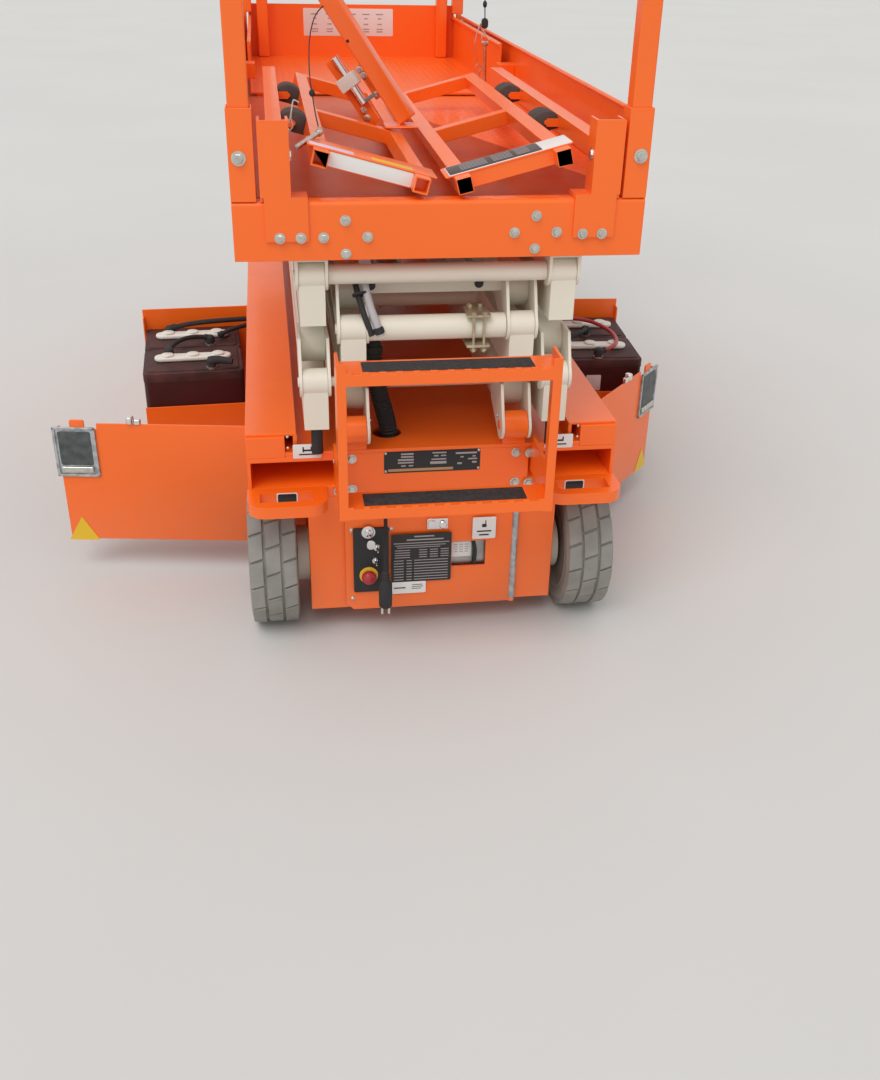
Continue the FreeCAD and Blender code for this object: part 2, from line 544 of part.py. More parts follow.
def knuckle(side):
    """Kingpin, yoke over the tyre, drive motor inside the wheel and its stub axle."""
    plate = block("yoke_plate_" + side, ("yoke_in", "king_x + king_r"),
                  (FRONT_AXLE + " - yoke_half", FRONT_AXLE + " + yoke_half"), ("yoke_low", "yoke_top"))
    pin = rod("king_pin_" + side, "z", "king_r", "yoke_top", "beam_low - king_gap", "king_x", FRONT_AXLE)
    cheek = block("yoke_cheek_" + side, ("yoke_in", "yoke_in + cheek_thick"),
                  (FRONT_AXLE + " - yoke_half", FRONT_AXLE + " + yoke_half"),
                  ("wheel_r - cheek_drop", "yoke_low"))
    motor = rod("drive_motor_" + side, "x", "motor_r", "motor_in", "yoke_in", FRONT_AXLE, "wheel_r")
    axle = rod("front_stub_" + side, "x", "stub_axle_r", "yoke_in", "wheel_out - stub_axle_set", FRONT_AXLE,
               "wheel_r")
    whole = fuse("knuckle_shape_" + side, plate, pin, cheek, motor, axle)
    if side == "left":
        whole = mirrored("knuckle_left_place", whole)
    return node("knuckle_" + side, whole)


# Scissor stack

def arm(name, centre, level, low_rear):
    """One slab: tube, ears at its low end, boss at its high end, and a bore or pin at the middle."""
    axis_z = pin_height(level + 0.5)
    low_z = pin_height(level)
    high_z = pin_height(level + 1)
    low_y, high_y, way = (REAR_PIN, FRONT_PIN, "+") if low_rear else (FRONT_PIN, REAR_PIN, "-")
    back = "-" if low_rear else "+"
    half = "arm_wide / 2"
    sides = (centre + " - " + half, centre + " + " + half)
    start = low_y + way + " (tube_set + arm_high / 2)"
    end = high_y + way + " nose"
    run = (start, end) if low_rear else (end, start)
    tube = block(name + "_tube", sides, run, (axis_z + " - arm_high / 2", axis_z + " + arm_high / 2"))
    round_end = rod(name + "_round", "x", "arm_high / 2", sides[0], sides[1], start, axis_z)
    web_y = (high_y + " - web_half", high_y + " + web_half")
    web = block(name + "_web", sides, web_y, (axis_z, high_z))
    boss = rod(name + "_boss", "x", "boss_r", sides[0], sides[1], high_y, high_z)
    ears = []
    ear_top = axis_z + " + arm_high / 2 - ear_trim"
    outline = [(low_y + back + " ear_r", low_z), (low_y + way + " ear_start", ear_top),
               (low_y + way + " ear_reach", ear_top),
               (low_y + way + " ear_reach", axis_z + " - arm_high / 2 + ear_trim"),
               (low_y + way + " ear_heel", low_z + " - ear_drop")]
    for label, sign in (("in", "-"), ("out", "+")):
        inner = "(" + centre + sign + " (" + half + " + ear_gap))"
        outer = "(" + centre + sign + " (" + half + " + ear_gap + ear_wall))"
        low, high = (outer, inner) if sign == "-" else (inner, outer)
        ears.append(prism(name + "_ear_" + label, "YZ", outline, low, high))
        ears.append(rod(name + "_ear_round_" + label, "x", "ear_r", low, high, low_y, low_z))
        join_y = (low_y + way + " (ear_reach - weld_far)", low_y + way + " (ear_reach - weld_near)")
        join_y = join_y if low_rear else (join_y[1], join_y[0])
        join_x = (centre, inner) if sign == "+" else (inner, centre)
        ears.append(block(name + "_ear_weld_" + label, join_x, join_y,
                          (axis_z + " - weld_half", axis_z + " + weld_half")))
    return fuse(name + "_solid", tube, round_end, web, boss, *ears)


def ear_bore(name, centre, level, low_rear, fit):
    """The hole through both ears at the low end of an arm."""
    low_y = REAR_PIN if low_rear else FRONT_PIN
    return rod(name + "_bore", "x", "pin_r + " + fit, centre + " - arm_wide", centre + " + arm_wide", low_y,
               pin_height(level))


def inner_arms(level, low_rear):
    """Inner pair: centre pins outwards, high pin between bosses, cross tubes between the slabs."""
    name = "inner_%d" % (level + 1)
    high_y = FRONT_PIN if low_rear else REAR_PIN
    high_z = pin_height(level + 1)
    axis_z = pin_height(level + 0.5)
    inside = "(inner_x - arm_wide / 2)"
    slab = cut(name + "_slab", arm(name, "inner_x", level, low_rear),
               ear_bore(name, "inner_x", level, low_rear, "pin_fit"))
    centre = rod(name + "_centre_pin", "x", "centre_r", "inner_x", "outer_x + arm_wide / 2 - centre_set",
                 MIDDLE_PIN, axis_z)
    parts = [both(name + "_slabs", fuse(name + "_half", slab, centre))]
    room = "(inner_x - arm_wide / 2 - ear_gap - ear_wall - cross_gap)"
    if level < 2:
        reach = "(inner_x + arm_wide / 2 + ear_gap + ear_wall + pin_over)"
        tube_r = "top_cross_r" if level == 0 else "mid_cross_r"
        parts.append(rod(name + "_high_pin", "x", "pin_r", "-" + reach, reach, high_y, high_z))
        parts.append(rod(name + "_high_cross", "x", tube_r, "-" + room, room, high_y, high_z))
    else:
        parts.append(rod(name + "_high_axle", "x", "upper_axle_r", "-" + inside, inside, high_y, high_z))
    where = REAR_PIN + (" + lower_cross_set" if level == 0 else " + middle_cross_set")
    parts.append(rod(name + "_cross", "x", "cross_r", "-" + inside, inside, where, axis_z))
    if level == 2:
        parts.append(block(name + "_tie_plate", ("-" + inside, inside),
                           (REAR_PIN + " + tie_set", REAR_PIN + " + tie_set + tie_thick"),
                           (axis_z, axis_z + " + tie_high")))
    else:
        where, height = (("ram_y", "ram_z"), ("ram_y + ram_run", "ram_z + ram_rise"))[level]
        tube = rod(name + "_stub_tube", "x", "stub_tube_r", "clevis_in", inside, where, height)
        flange = rod(name + "_clevis", "x", "clevis_r", "clevis_in", "clevis_in + clevis_wall", where, height)
        parts.append(both(name + "_clevis_pair", fuse(name + "_clevis_half", tube, flange)))
        if level == 0:
            parts.append(rod(name + "_ram_pin", "x", "ram_pin_r", "-clevis_in - ram_pin_over",
                             "clevis_in + ram_pin_over", where, height))
    return node("inner_arms_%d" % (level + 1), fuse(name + "_frame", *parts))


def outer_arms(level, low_rear):
    """Outer pair: bores for the centre pins, and an axle right across at the high end."""
    name = "outer_%d" % (level + 1)
    high_y = FRONT_PIN if low_rear else REAR_PIN
    high_z = pin_height(level + 1)
    axis_z = pin_height(level + 0.5)
    fit = "open_fit" if level else "0"
    reach = "(outer_x + arm_wide / 2 + ear_gap + ear_wall + pin_over)"
    solid = arm(name, "outer_x", level, low_rear)
    centre = rod(name + "_centre_bore", "x", "centre_r + pin_fit", "outer_x - arm_wide", "outer_x + arm_wide",
                 MIDDLE_PIN, axis_z)
    tools = [centre]
    if level:
        tools.append(ear_bore(name, "outer_x", level, low_rear, fit))
    parts = [both(name + "_slabs", cut(name + "_slab", solid, *tools))]
    parts.append(rod(name + "_high_axle", "x", "pin_r", "-" + reach, reach, high_y, high_z))
    if level == 0:
        parts.append(rod(name + "_low_axle", "x", "pin_r", "-" + reach, reach, FRONT_PIN, pin_height(0)))
    if level == 2:
        room = "(outer_x - arm_wide / 2 - ear_gap - ear_wall - cross_gap)"
        parts.append(rod(name + "_high_cross", "x", "top_cross_r", "-" + room, room, high_y, high_z))
    return node("outer_arms_%d" % (level + 1), fuse(name + "_frame", *parts))


def rollers():
    """Lower rollers run on the chassis floor, upper rollers under the platform's tracks."""
    low_r = "(pin_low - floor_top - roller_seat)"
    low = rod("lower_roller", "x", low_r, "outer_x - arm_wide / 2 + roller_side",
              "outer_x + arm_wide / 2 - roller_side", FRONT_PIN, pin_height(0))
    low_bore = rod("lower_roller_bore", "x", "pin_r", "outer_x - arm_wide", "outer_x + arm_wide", FRONT_PIN,
                   pin_height(0))
    node("lower_rollers", both("lower_rollers", cut("lower_roller_ring", low, low_bore)))
    high_r = "(frame_low - " + pin_height(3) + " - roller_seat)"
    sides = ("upper_roller_x - upper_roller_wide / 2", "upper_roller_x + upper_roller_wide / 2")
    high = rod("upper_roller", "x", high_r, sides[0], sides[1], FRONT_PIN, pin_height(3))
    high_bore = rod("upper_roller_bore", "x", "upper_axle_r", sides[0] + " - 1", sides[1] + " + 1", FRONT_PIN,
                    pin_height(3))
    node("upper_rollers", both("upper_rollers", cut("upper_roller_ring", high, high_bore)))


def lift_cylinder():
    """Barrel hinged on the lowest inner arms; its rod ends in an eye between the upper clevis plates."""
    length = "sqrt(ram_run * ram_run + ram_rise * ram_rise)"
    slope = "atan(ram_rise / ram_run)"
    barrel = fuse("barrel_solid",
                  rod("barrel_tube", "y", "barrel_r", "barrel_set", "barrel_set + barrel_long", "0", "0"),
                  rod("barrel_eye", "x", "eye_r", "-eye_half", "eye_half", "0", "0"),
                  block("barrel_neck", ("-eye_half", "eye_half"), ("0", "barrel_set"), ("-eye_r", "eye_r")),
                  rod("barrel_collar", "y", "barrel_r + collar_over", "barrel_set + barrel_long - collar_long",
                      "barrel_set + barrel_long", "0", "0"))
    barrel = cut("barrel_bored", barrel,
                 rod("barrel_bore", "y", "rod_r + bore_gap", "barrel_set + barrel_floor",
                     "barrel_set + barrel_long + 1", "0", "0"),
                 rod("barrel_pin_bore", "x", "ram_pin_r + pin_fit", "-eye_half - 1", "eye_half + 1", "0", "0"))
    node("lift_barrel", moved("lift_barrel", barrel, "0", "ram_y", "ram_z", X_AXIS, slope))
    ram = fuse("ram_solid",
               rod("ram_rod", "y", "rod_r", "rod_in", length, "0", "0"),
               rod("ram_eye", "x", "eye_r", "-eye_half", "eye_half", length, "0"))
    node("lift_rod", moved("lift_rod", ram, "0", "ram_y", "ram_z", X_AXIS, slope))


# Platform

def platform_deck():
    """Deck plate on a frame of beams, joists and roller tracks."""
    high = "(deck_top - deck_skin)"
    wide = ("-deck_half", "deck_half")
    inner = ("deck_rear + frame_wide", DECK_FRONT + " - frame_wide")
    skin = block("deck_plate", wide, ("deck_rear + frame_wide", DECK_FRONT), (high, "deck_top"))
    rear = fuse("rear_beam",
                block("rear_beam_low", wide, ("deck_rear", "deck_rear + frame_wide"),
                      ("frame_low", "deck_top - edge_round")),
                block("rear_beam_high", wide, ("deck_rear + edge_round", "deck_rear + frame_wide"),
                      ("deck_top - edge_round", "deck_top")),
                rod("rear_edge", "x", "edge_round", "-deck_half", "deck_half", "deck_rear + edge_round",
                    "deck_top - edge_round"))
    front = block("front_rail", wide, (DECK_FRONT + " - frame_wide", DECK_FRONT), ("frame_low", high))
    side = block("side_rail", ("deck_half - side_beam", "deck_half"), inner, ("frame_low", high))
    track = block("roller_track", ("upper_roller_x - track_half", "upper_roller_x + track_half"), inner,
                  ("frame_low", "frame_low + joist_high"))
    joists = []
    for number in range(1, 5):
        middle = "(deck_rear + deck_long * %g)" % (number / 5)
        joists.append(block("joist_%d" % number, ("-deck_half + side_beam", "deck_half - side_beam"),
                            (middle + " - joist_wide / 2", middle + " + joist_wide / 2"),
                            ("frame_low + joist_high", high)))
    plates = [skin, rear, front] + pair("side_rails", side) + pair("roller_tracks", track) + joists
    return node("platform_deck", welded("platform_deck", *plates))


def toe_boards():
    """Side boards on the deck with a rolled top edge and a guide for the roll-out deck."""
    run = ("deck_rear + toe_start", DECK_FRONT)
    seam = "(toe_top - 2 * toe_roll)"
    board = block("toe_board", ("deck_half - toe_wall", "deck_half"), run, ("deck_top", seam))
    roll = fuse("toe_board_roll",
                rod("toe_roll_round", "y", "toe_roll", run[0], run[1], "deck_half - toe_roll",
                    "toe_top - toe_roll"),
                block("toe_roll_corner", ("deck_half - toe_roll", "deck_half"), run,
                      (seam, "toe_top - toe_roll")))
    near = "(" + EXT_REAR + " - guide_gap)"
    middle = "(deck_top + toe_top) / 2"
    guide = block("guide_plate", (EXT_HALF + " - guide_in", "deck_half - toe_wall"),
                  (near + " - guide_long", near), (middle + " - guide_high / 2", middle + " + guide_high / 2"))
    plates = pair("boards", board) + pair("rolls", roll) + pair("guides", guide)
    return node("toe_boards", welded("toe_boards", *plates))


def corner_sleeves():
    """Square sleeves at the deck's rear corners that hold the guard rails' posts."""
    out = block("corner_tube", ("deck_half - sleeve_out", "deck_half"), ("deck_rear", "deck_rear + sleeve_out"),
                ("deck_top", "deck_top + sleeve_high"))
    room = block("corner_room", ("deck_half - sleeve_out + sleeve_wall", "deck_half - sleeve_wall"),
                 ("deck_rear + sleeve_wall", "deck_rear + sleeve_out - sleeve_wall"),
                 ("deck_top - 1", "deck_top + sleeve_high + 1"))
    foot = block("corner_foot", ("deck_half - sleeve_out", "deck_half"),
                 ("deck_rear + sleeve_out", "deck_rear + toe_start"), ("deck_top", "deck_top + foot_high"))
    sleeve = fuse("sleeve_half", cut("corner_sleeve", out, room), foot)
    return node("corner_sleeves", both("corner_sleeves", sleeve))


def platform_brackets():
    """White brackets that hang the platform on the top pin, with a cross plate between them."""
    plates = []
    for label, sign in (("in", "-"), ("out", "+")):
        inner = "(outer_x" + sign + " (arm_wide / 2 + ear_gap))"
        outer = "(outer_x" + sign + " (arm_wide / 2 + ear_gap + ear_wall))"
        low, high = (outer, inner) if sign == "-" else (inner, outer)
        plates.append(block("bracket_plate_" + label, (low, high), (REAR_PIN + " - ear_r", REAR_PIN + " + ear_r"),
                            (pin_height(3), "frame_low")))
        plates.append(rod("bracket_round_" + label, "x", "ear_r", low, high, REAR_PIN, pin_height(3)))
    top = block("bracket_top",
                ("outer_x - arm_wide / 2 - ear_gap - ear_wall", "outer_x + arm_wide / 2 + ear_gap"),
                (REAR_PIN + " - ear_r", REAR_PIN + " + ear_r"), ("frame_low - bracket_top_thick", "frame_low"))
    tie = block("bracket_tie", ("0", "outer_x - arm_wide / 2"),
                (REAR_PIN + " + ear_r - bracket_tie_thick", REAR_PIN + " + ear_r"),
                ("frame_low - bracket_tie_high", "frame_low"))
    bore = rod("bracket_bore", "x", "pin_r + pin_fit", "outer_x - arm_wide", "outer_x + arm_wide", REAR_PIN,
               pin_height(3))
    half = cut("bracket_half", fuse("bracket_solid", top, tie, *plates), bore)
    return node("platform_brackets", both("platform_brackets", half))


def guard_rail(side):
    """Two posts, a top rail and a middle rail of square tube along one side of the platform."""
    out = "(deck_half - (sleeve_out - post_side) / 2)"
    inside = "(" + out + " - post_side)"
    rear = "(deck_rear + (sleeve_out - post_side) / 2)"
    front = "(" + DECK_FRONT + " - front_post_set)"
    side_x = (inside, out)
    joint = "(toe_top + foot_over)"
    parts = [block("rail_rear_post_" + side, side_x, (rear, rear + " + post_side"), ("deck_top", "rail_top")),
             block("rail_front_foot_" + side, (out + " - foot_wide", "deck_half - 2 * toe_roll - foot_gap"),
                   (front, front + " + post_side"), ("deck_top", joint)),
             block("rail_front_post_" + side, side_x, (front, front + " + post_side"), (joint, "rail_top")),
             block("rail_top_bar_" + side, side_x, (rear, front + " + post_side"),
                   ("rail_top - post_side", "rail_top")),
             block("rail_mid_bar_" + side, side_x, (rear, front + " + post_side"),
                   ("rail_mid - post_side", "rail_mid"))]
    rail = fuse("rail_shape_" + side, *parts)
    if side == "left":
        rail = mirrored("rail_left_place", rail)
    return node("guard_rail_" + side, rail)


def gate_stubs():
    """Channel stubs that carry the gate posts' fold pins, on foot plates bent over the deck's rear edge."""
    wide = ("deck_half - plate_in", "deck_half - plate_in + plate_wide")
    behind = ("deck_rear - stub_wall", "deck_rear")
    deep = ("deck_rear", "deck_rear + stub_deep")
    lip_top = "(deck_top + plate_lip_thick)"
    foot = fuse("stub_foot",
                block("foot_plate", wide, behind, ("deck_top - plate_drop", lip_top)),
                block("foot_lip", wide, ("deck_rear", "deck_rear + plate_lip"), ("deck_top", lip_top)))
    back = block("stub_back", (STUB_IN, STUB_OUT), behind, (lip_top, "stub_top"))
    cheek_in = block("stub_cheek_in", (STUB_IN, STUB_IN + " + stub_wall"), deep, (lip_top, "stub_top"))
    cheek_out = block("stub_cheek_out", (STUB_OUT + " - stub_wall", STUB_OUT), deep, ("deck_top", "stub_top"))
    pin = rod("stub_pin", "x", "leaf_pin + 1", STUB_IN, STUB_OUT, "deck_rear + fold_set", "fold_z")
    return node("gate_stubs", both("gate_stubs", fuse("gate_stub", foot, back, cheek_in, cheek_out, pin)))


def gate_side(side):
    """Folded post with hinge lugs, the ladder-shaped leaf sagging from it, and the hinge covers."""
    start = "(deck_rear + fold_set)"
    half = "gate_post_side / 2"
    inner = "-" + GATE_POST_X + " + " + half
    outer = "-" + GATE_POST_X + " - " + half
    axis = "-" + LEAF_AXIS_X
    post = fuse("gate_post_solid_" + side,
                block("gate_post_tube_" + side, (outer, inner), (start, start + " + gate_long"),
                      ("fold_z - " + half, "fold_z + " + half)),
                rod("gate_post_round_" + side, "x", half, outer, inner, start, "fold_z"))
    pieces = [post]
    near = []
    for number in range(2):
        begin = "(deck_rear + cover_near + %d * cover_pitch)" % number
        near.append(begin)
        first = begin + " - hinge_lug - hinge_lug_gap"
        second = begin + " + cover_long + hinge_lug_gap"
        for label, spot in (("a", first), ("b", second)):
            pieces.append(block("gate_lug_%s_%d%s" % (side, number + 1, label), (inner + " - 1", axis),
                                (spot, spot + " + hinge_lug"),
                                ("fold_z - hinge_lug_half", "fold_z + hinge_lug_half")))
        pieces.append(rod("gate_pin_%s_%d" % (side, number + 1), "y", "leaf_pin", first, second + " + hinge_lug",
                          axis, "fold_z"))
    fold_bore = rod("gate_fold_bore_" + side, "x", "leaf_pin + 1 + pin_fit", "-" + STUB_OUT, "-" + STUB_IN, start,
                    "fold_z")
    post_whole = cut("gate_post_shape_" + side, fuse("gate_post_parts_" + side, *pieces), fold_bore)
    tube = "leaf_tube / 2"
    flat = ("-" + tube, tube)
    y_run = ("deck_rear", "deck_rear + leaf_long")
    leaf_parts = [block("leaf_hinge_tube_" + side, ("leaf_in - " + tube, "leaf_in + " + tube), y_run, flat),
                  block("leaf_free_tube_" + side, (LEAF_OUT + " - " + tube, LEAF_OUT + " + " + tube), y_run, flat)]
    spots = ("deck_rear + leaf_near", "deck_rear + leaf_mid", "deck_rear + leaf_long - leaf_tube")
    for number, spot in enumerate(spots):
        leaf_parts.append(block("leaf_cross_%s_%d" % (side, number + 1), ("leaf_in", LEAF_OUT),
                                (spot, spot + " + leaf_tube"), flat))
    mouths = []
    for number, middle in enumerate(("leaf_in", LEAF_OUT)):
        mouths.append(block("leaf_mouth_%s_%d" % (side, number + 1),
                            (middle + " - leaf_mouth / 2", middle + " + leaf_mouth / 2"),
                            ("deck_rear - 1", "deck_rear + leaf_mouth_deep"),
                            ("-leaf_mouth / 2", "leaf_mouth / 2")))
    covers = []
    for number, begin in enumerate(near):
        label = "%s_%d" % (side, number + 1)
        low, high = begin, begin + " + cover_long"
        solid = fuse("cover_solid_" + label,
                     rod("cover_round_" + label, "y", "cover_round", low, high, "0", "0"),
                     block("cover_block_" + label, ("0", "leaf_in - " + tube), (low, high),
                           ("-cover_round * 0.6", "cover_round")))
        covers.append(cut("cover_" + label, solid,
                          rod("cover_bore_" + label, "y", "leaf_pin + pin_fit", low + " - 1", high + " + 1", "0",
                              "0")))
    leaf = cut("leaf_shape_" + side, fuse("leaf_solid_" + side, *leaf_parts), *mouths)
    if side == "right":
        post_whole = mirrored("gate_post_right_place", post_whole)
    node("gate_post_" + side, post_whole)
    for label, shape in (("gate_leaf_", leaf), ("hinge_covers_", fuse("covers_shape_" + side, *covers))):
        hung = moved(label + side + "_hung", shape, axis, "0", "fold_z", Y_AXIS, "leaf_sag")
        if side == "right":
            hung = mirrored(label + side + "_place", hung)
        node(label + side, hung)


def gate_bar():
    """Leaning bar on the left leaf's free tube, with its foot plate, and the spring plunger beside it."""
    half = "bar_side / 2"
    under = "(" + LEAF_OUT + " - leaf_tube / 2 - bar_foot_in)"
    seat = "(fold_z - " + under + " * sin(leaf_sag) + leaf_tube / 2 * cos(leaf_sag))"
    foot = block("bar_foot", ("bar_foot_left", "bar_foot_right"),
                 ("bar_y - bar_foot_half", "bar_y + bar_foot_half"), (seat, seat + " + bar_foot_high"))
    tube = block("bar_tube", ("-" + half, half), ("-" + half, half), ("0", "bar_long"))
    spot = ("bar_x", "bar_y", seat + " + bar_foot_high + bar_side / 4")
    lean = moved("bar_leaning", tube, "0", "0", "0", Y_AXIS, "-bar_lean")
    node("gate_bar", fuse("gate_bar", foot, moved("bar_turned", lean, *spot, Z_AXIS, "-bar_yaw")))
    sleeve = rod("plunger_tube", "z", "plunger_r", "plunger_start", "plunger_end", "-plunger_off", "0")
    collar = rod("plunger_block", "z", "plunger_r * 2", "plunger_mid - plunger_r * 2",
                 "plunger_mid + plunger_r * 2", "-plunger_off", "0")
    arm_plate = block("plunger_arm", ("-plunger_off", "-" + half), ("-plunger_arm_half", "plunger_arm_half"),
                      ("plunger_mid - plunger_arm_high / 2", "plunger_mid + plunger_arm_high / 2"))
    plunger = moved("plunger_leaning", fuse("plunger_solid", sleeve, collar, arm_plate), "0", "0", "0", Y_AXIS,
                    "-bar_lean")
    node("bar_plunger", moved("bar_plunger", plunger, *spot, Z_AXIS, "-bar_yaw"))


# Roll-out deck

def extension_deck():
    """Thin floor with side toe boards and a front wall, sliding on the main deck."""
    low = "(deck_top + ext_gap)"
    run = (EXT_REAR, EXT_FRONT)
    floor = block("ext_floor_plate", ("0", EXT_HALF), run, (low, low + " + ext_floor"))
    toe = block("ext_toe", (EXT_HALF + " - ext_wall", EXT_HALF), run, (low, "ext_top"))
    roll = rod("ext_toe_roll", "y", "toe_roll", run[0], run[1], EXT_HALF + " - toe_roll", "ext_top - toe_roll")
    runner = block("ext_runner", (EXT_HALF + " - 2 * runner_wide", EXT_HALF + " - runner_wide"), run,
                   ("deck_top + runner_gap", low))
    wall = block("ext_front_wall", ("0", EXT_HALF), (EXT_FRONT + " - ext_wall", EXT_FRONT),
                 (low, "ext_front_top"))
    return node("extension_deck", both("extension_deck", fuse("ext_half_solid", floor, toe, roll, runner, wall)))


def extension_rails():
    """Front guard rail of the roll-out deck with short side rails, and the control box that hangs on it."""
    front = "(" + EXT_FRONT + " - ext_wall - roller_seat)"
    out = "(" + EXT_HALF + " - ext_post_set)"
    side_x = (out + " - post_side", out)
    top = "(rail_top - post_side - ext_rail_drop)"
    mid = "(rail_mid - post_side - ext_rail_drop)"
    foot = "(deck_top + ext_gap + ext_floor)"
    parts = [block("ext_post", side_x, (front + " - post_side", front), (foot, top)),
             block("ext_rear_hanger", side_x, (EXT_REAR, EXT_REAR + " + post_side"), (mid + " - post_side", top))]
    for label, height in (("top", top), ("mid", mid)):
        parts.append(block("ext_side_" + label, side_x, (EXT_REAR, front), (height + " - post_side", height)))
        parts.append(block("ext_front_" + label, ("0", out), (front + " - post_side", front),
                           (height + " - post_side", height)))
    node("extension_rails", both("extension_rails", fuse("ext_rail_half", *parts)))
    case_out = "(" + out + " - post_side - box_gap)"
    hook_out = "(" + out + " - post_side - hook_set)"
    box = fuse("control_box_solid",
               block("control_case", (case_out + " - box_wide", case_out),
                     (front + " - post_side - box_deep", front + " - post_side"),
                     (top + " - box_drop - box_high", top + " - box_drop")),
               block("control_hook", (hook_out + " - hook_wide", hook_out),
                     (front + " - post_side - hook_thick", front + " - post_side"),
                     (top + " - box_drop - hook_thick", top + " + hook_over")))
    node("control_box", box)


rear_frame()
rear_cabinet()
tie_loops()
deck_frame()
bay_frame()
front_frame()
front_beam()
rear_hubs()
rest_pads()
ladder()
rear_door()
cord("charging_lead", LEAD_ROUTE, SIZES["lead_r"])
side_door("left", "left_door_open")
side_door("right", "right_door_open")
for bay in ("left", "right"):
    battery_tray(bay)
for corner, axle_y in (("rear", REAR_AXLE), ("front", FRONT_AXLE)):
    for wheel_side in ("left", "right"):
        wheel(corner + "_" + wheel_side, wheel_side, axle_y)
knuckle("left")
knuckle("right")
for stack_level, inner_low_rear in ((0, True), (1, False), (2, True)):
    inner_arms(stack_level, inner_low_rear)
    outer_arms(stack_level, not inner_low_rear)
rollers()
lift_cylinder()
platform_deck()
toe_boards()
corner_sleeves()
platform_brackets()
guard_rail("left")
guard_rail("right")
gate_stubs()
gate_side("left")
gate_side("right")
gate_bar()
extension_deck()
extension_rails()

doc.recompute()

failed = [item.Name for item in doc.Objects if "Invalid" in item.State or "Error" in item.State]
if failed:
    raise RuntimeError("objects that did not compute: " + ", ".join(failed))
os.makedirs("parts", exist_ok=True)
for item in NODES:
    if item.Shape.isNull() or not item.Shape.isValid():
        raise RuntimeError("no valid shape: " + item.Label)
    item.Shape.exportStep("parts/" + item.Label + ".step")
print(len(NODES), "nodes written")
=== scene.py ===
import json
import math

import bmesh
import bpy
import numpy as np
from bpy.props import FloatProperty, FloatVectorProperty, IntProperty, PointerProperty
from mathutils import Matrix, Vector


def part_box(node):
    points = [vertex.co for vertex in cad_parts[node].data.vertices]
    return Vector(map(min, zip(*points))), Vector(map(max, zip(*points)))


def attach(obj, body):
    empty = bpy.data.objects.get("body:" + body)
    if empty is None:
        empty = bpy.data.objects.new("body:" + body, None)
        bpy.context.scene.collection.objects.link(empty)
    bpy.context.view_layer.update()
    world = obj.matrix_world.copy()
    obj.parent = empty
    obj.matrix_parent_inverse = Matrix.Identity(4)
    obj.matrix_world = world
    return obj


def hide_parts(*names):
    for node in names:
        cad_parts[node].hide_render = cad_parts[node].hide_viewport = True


bl_info = {
    "name": "Scissor Lift Finish",
    "version": (1, 0, 0),
    "blender": (4, 5, 0),
    "location": "3D View > Sidebar > Scissor Lift",
    "description": "Dresses the scissor lift with paint, tyres, batteries, hardware and signs",
    "category": "Object",
}

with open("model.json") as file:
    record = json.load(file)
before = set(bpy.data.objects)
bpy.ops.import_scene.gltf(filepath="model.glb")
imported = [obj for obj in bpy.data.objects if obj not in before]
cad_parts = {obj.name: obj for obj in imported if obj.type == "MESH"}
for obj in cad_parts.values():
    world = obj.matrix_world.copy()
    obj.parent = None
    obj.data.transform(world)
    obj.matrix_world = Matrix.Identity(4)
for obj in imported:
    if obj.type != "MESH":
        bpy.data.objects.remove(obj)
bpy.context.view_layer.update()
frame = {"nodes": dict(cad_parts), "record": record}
MM = 0.001
ACROSS = np.array([1.0, 0.0, 0.0])
ALONG = np.array([0.0, 1.0, 0.0])
UP = np.array([0.0, 0.0, 1.0])


def mm(*values):
    """Millimetres to metres."""
    return np.array(values, float) * MM


def low_high(node):
    """Lowest and highest corner of a node, in metres."""
    low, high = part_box(node)
    return np.array(low), np.array(high)


# Forms: points, four-sided faces and many-sided caps


def loft(rings, closed=False):
    """Rings of points with equal counts, each joined to the next; the end rings are filled, or when closed
    the last ring joins the first."""
    rows, columns = rings.shape[:2]
    spots = np.arange(rows * columns).reshape(rows, columns)
    near = spots if closed else spots[:-1]
    far = np.roll(spots, -1, 0) if closed else spots[1:]
    sides = np.stack([near, np.roll(near, -1, 1), np.roll(far, -1, 1), far], -1).reshape(-1, 4)
    caps = [] if closed else [spots[0][::-1], spots[-1]]
    return rings.reshape(-1, 3), sides, caps


def joined(*forms):
    """One form from several: points stacked, face numbers shifted by the points before them."""
    points, sides, caps = [], [], []
    base = 0
    for spots, quads, ends in forms:
        points.append(spots)
        sides.append(quads + base)
        caps += [end + base for end in ends]
        base += len(spots)
    return np.concatenate(points), np.concatenate(sides), caps


def repeated(form, spots):
    """The form once at each spot: its points plus each spot in turn."""
    points, sides, caps = form
    spots = np.asarray(spots, float).reshape(-1, 3)
    shift = np.arange(len(spots)) * len(points)
    whole = (points[None] + spots[:, None]).reshape(-1, 3)
    sides = (sides[None] + shift[:, None, None]).reshape(-1, 4)
    return whole, sides, [cap + far for far in shift for cap in caps]


def turned(form, axes, origin=(0.0, 0.0, 0.0)):
    """The form carried into a frame: its x, y and z measure along the three axes from the origin."""
    points, sides, caps = form
    return points @ np.asarray(axes, float) + np.asarray(origin, float), sides, caps


def mirrored(form, side):
    """The form as it is on the left side, and its mirror image across x = 0 on the right."""
    points, sides, caps = form
    return points * ([1, 1, 1] if side == "left" else [-1, 1, 1]), sides, caps


def facing(across, up):
    """Axes of a flat piece whose z stands out of the surface: across, up and their cross product."""
    across = np.asarray(across, float)
    up = np.asarray(up, float)
    return np.stack([across, up, np.cross(across, up)])


LEVEL = np.eye(3)
REARWARD = facing(ACROSS, UP)


def along(direction):
    """Axes whose z is the direction; x is level where it can be."""
    out = np.asarray(direction, float)
    out = out / np.linalg.norm(out)
    helper = UP if abs(out[2]) < 0.9 else ACROSS
    side = np.cross(helper, out)
    side = side / np.linalg.norm(side)
    return np.stack([side, np.cross(out, side), out])


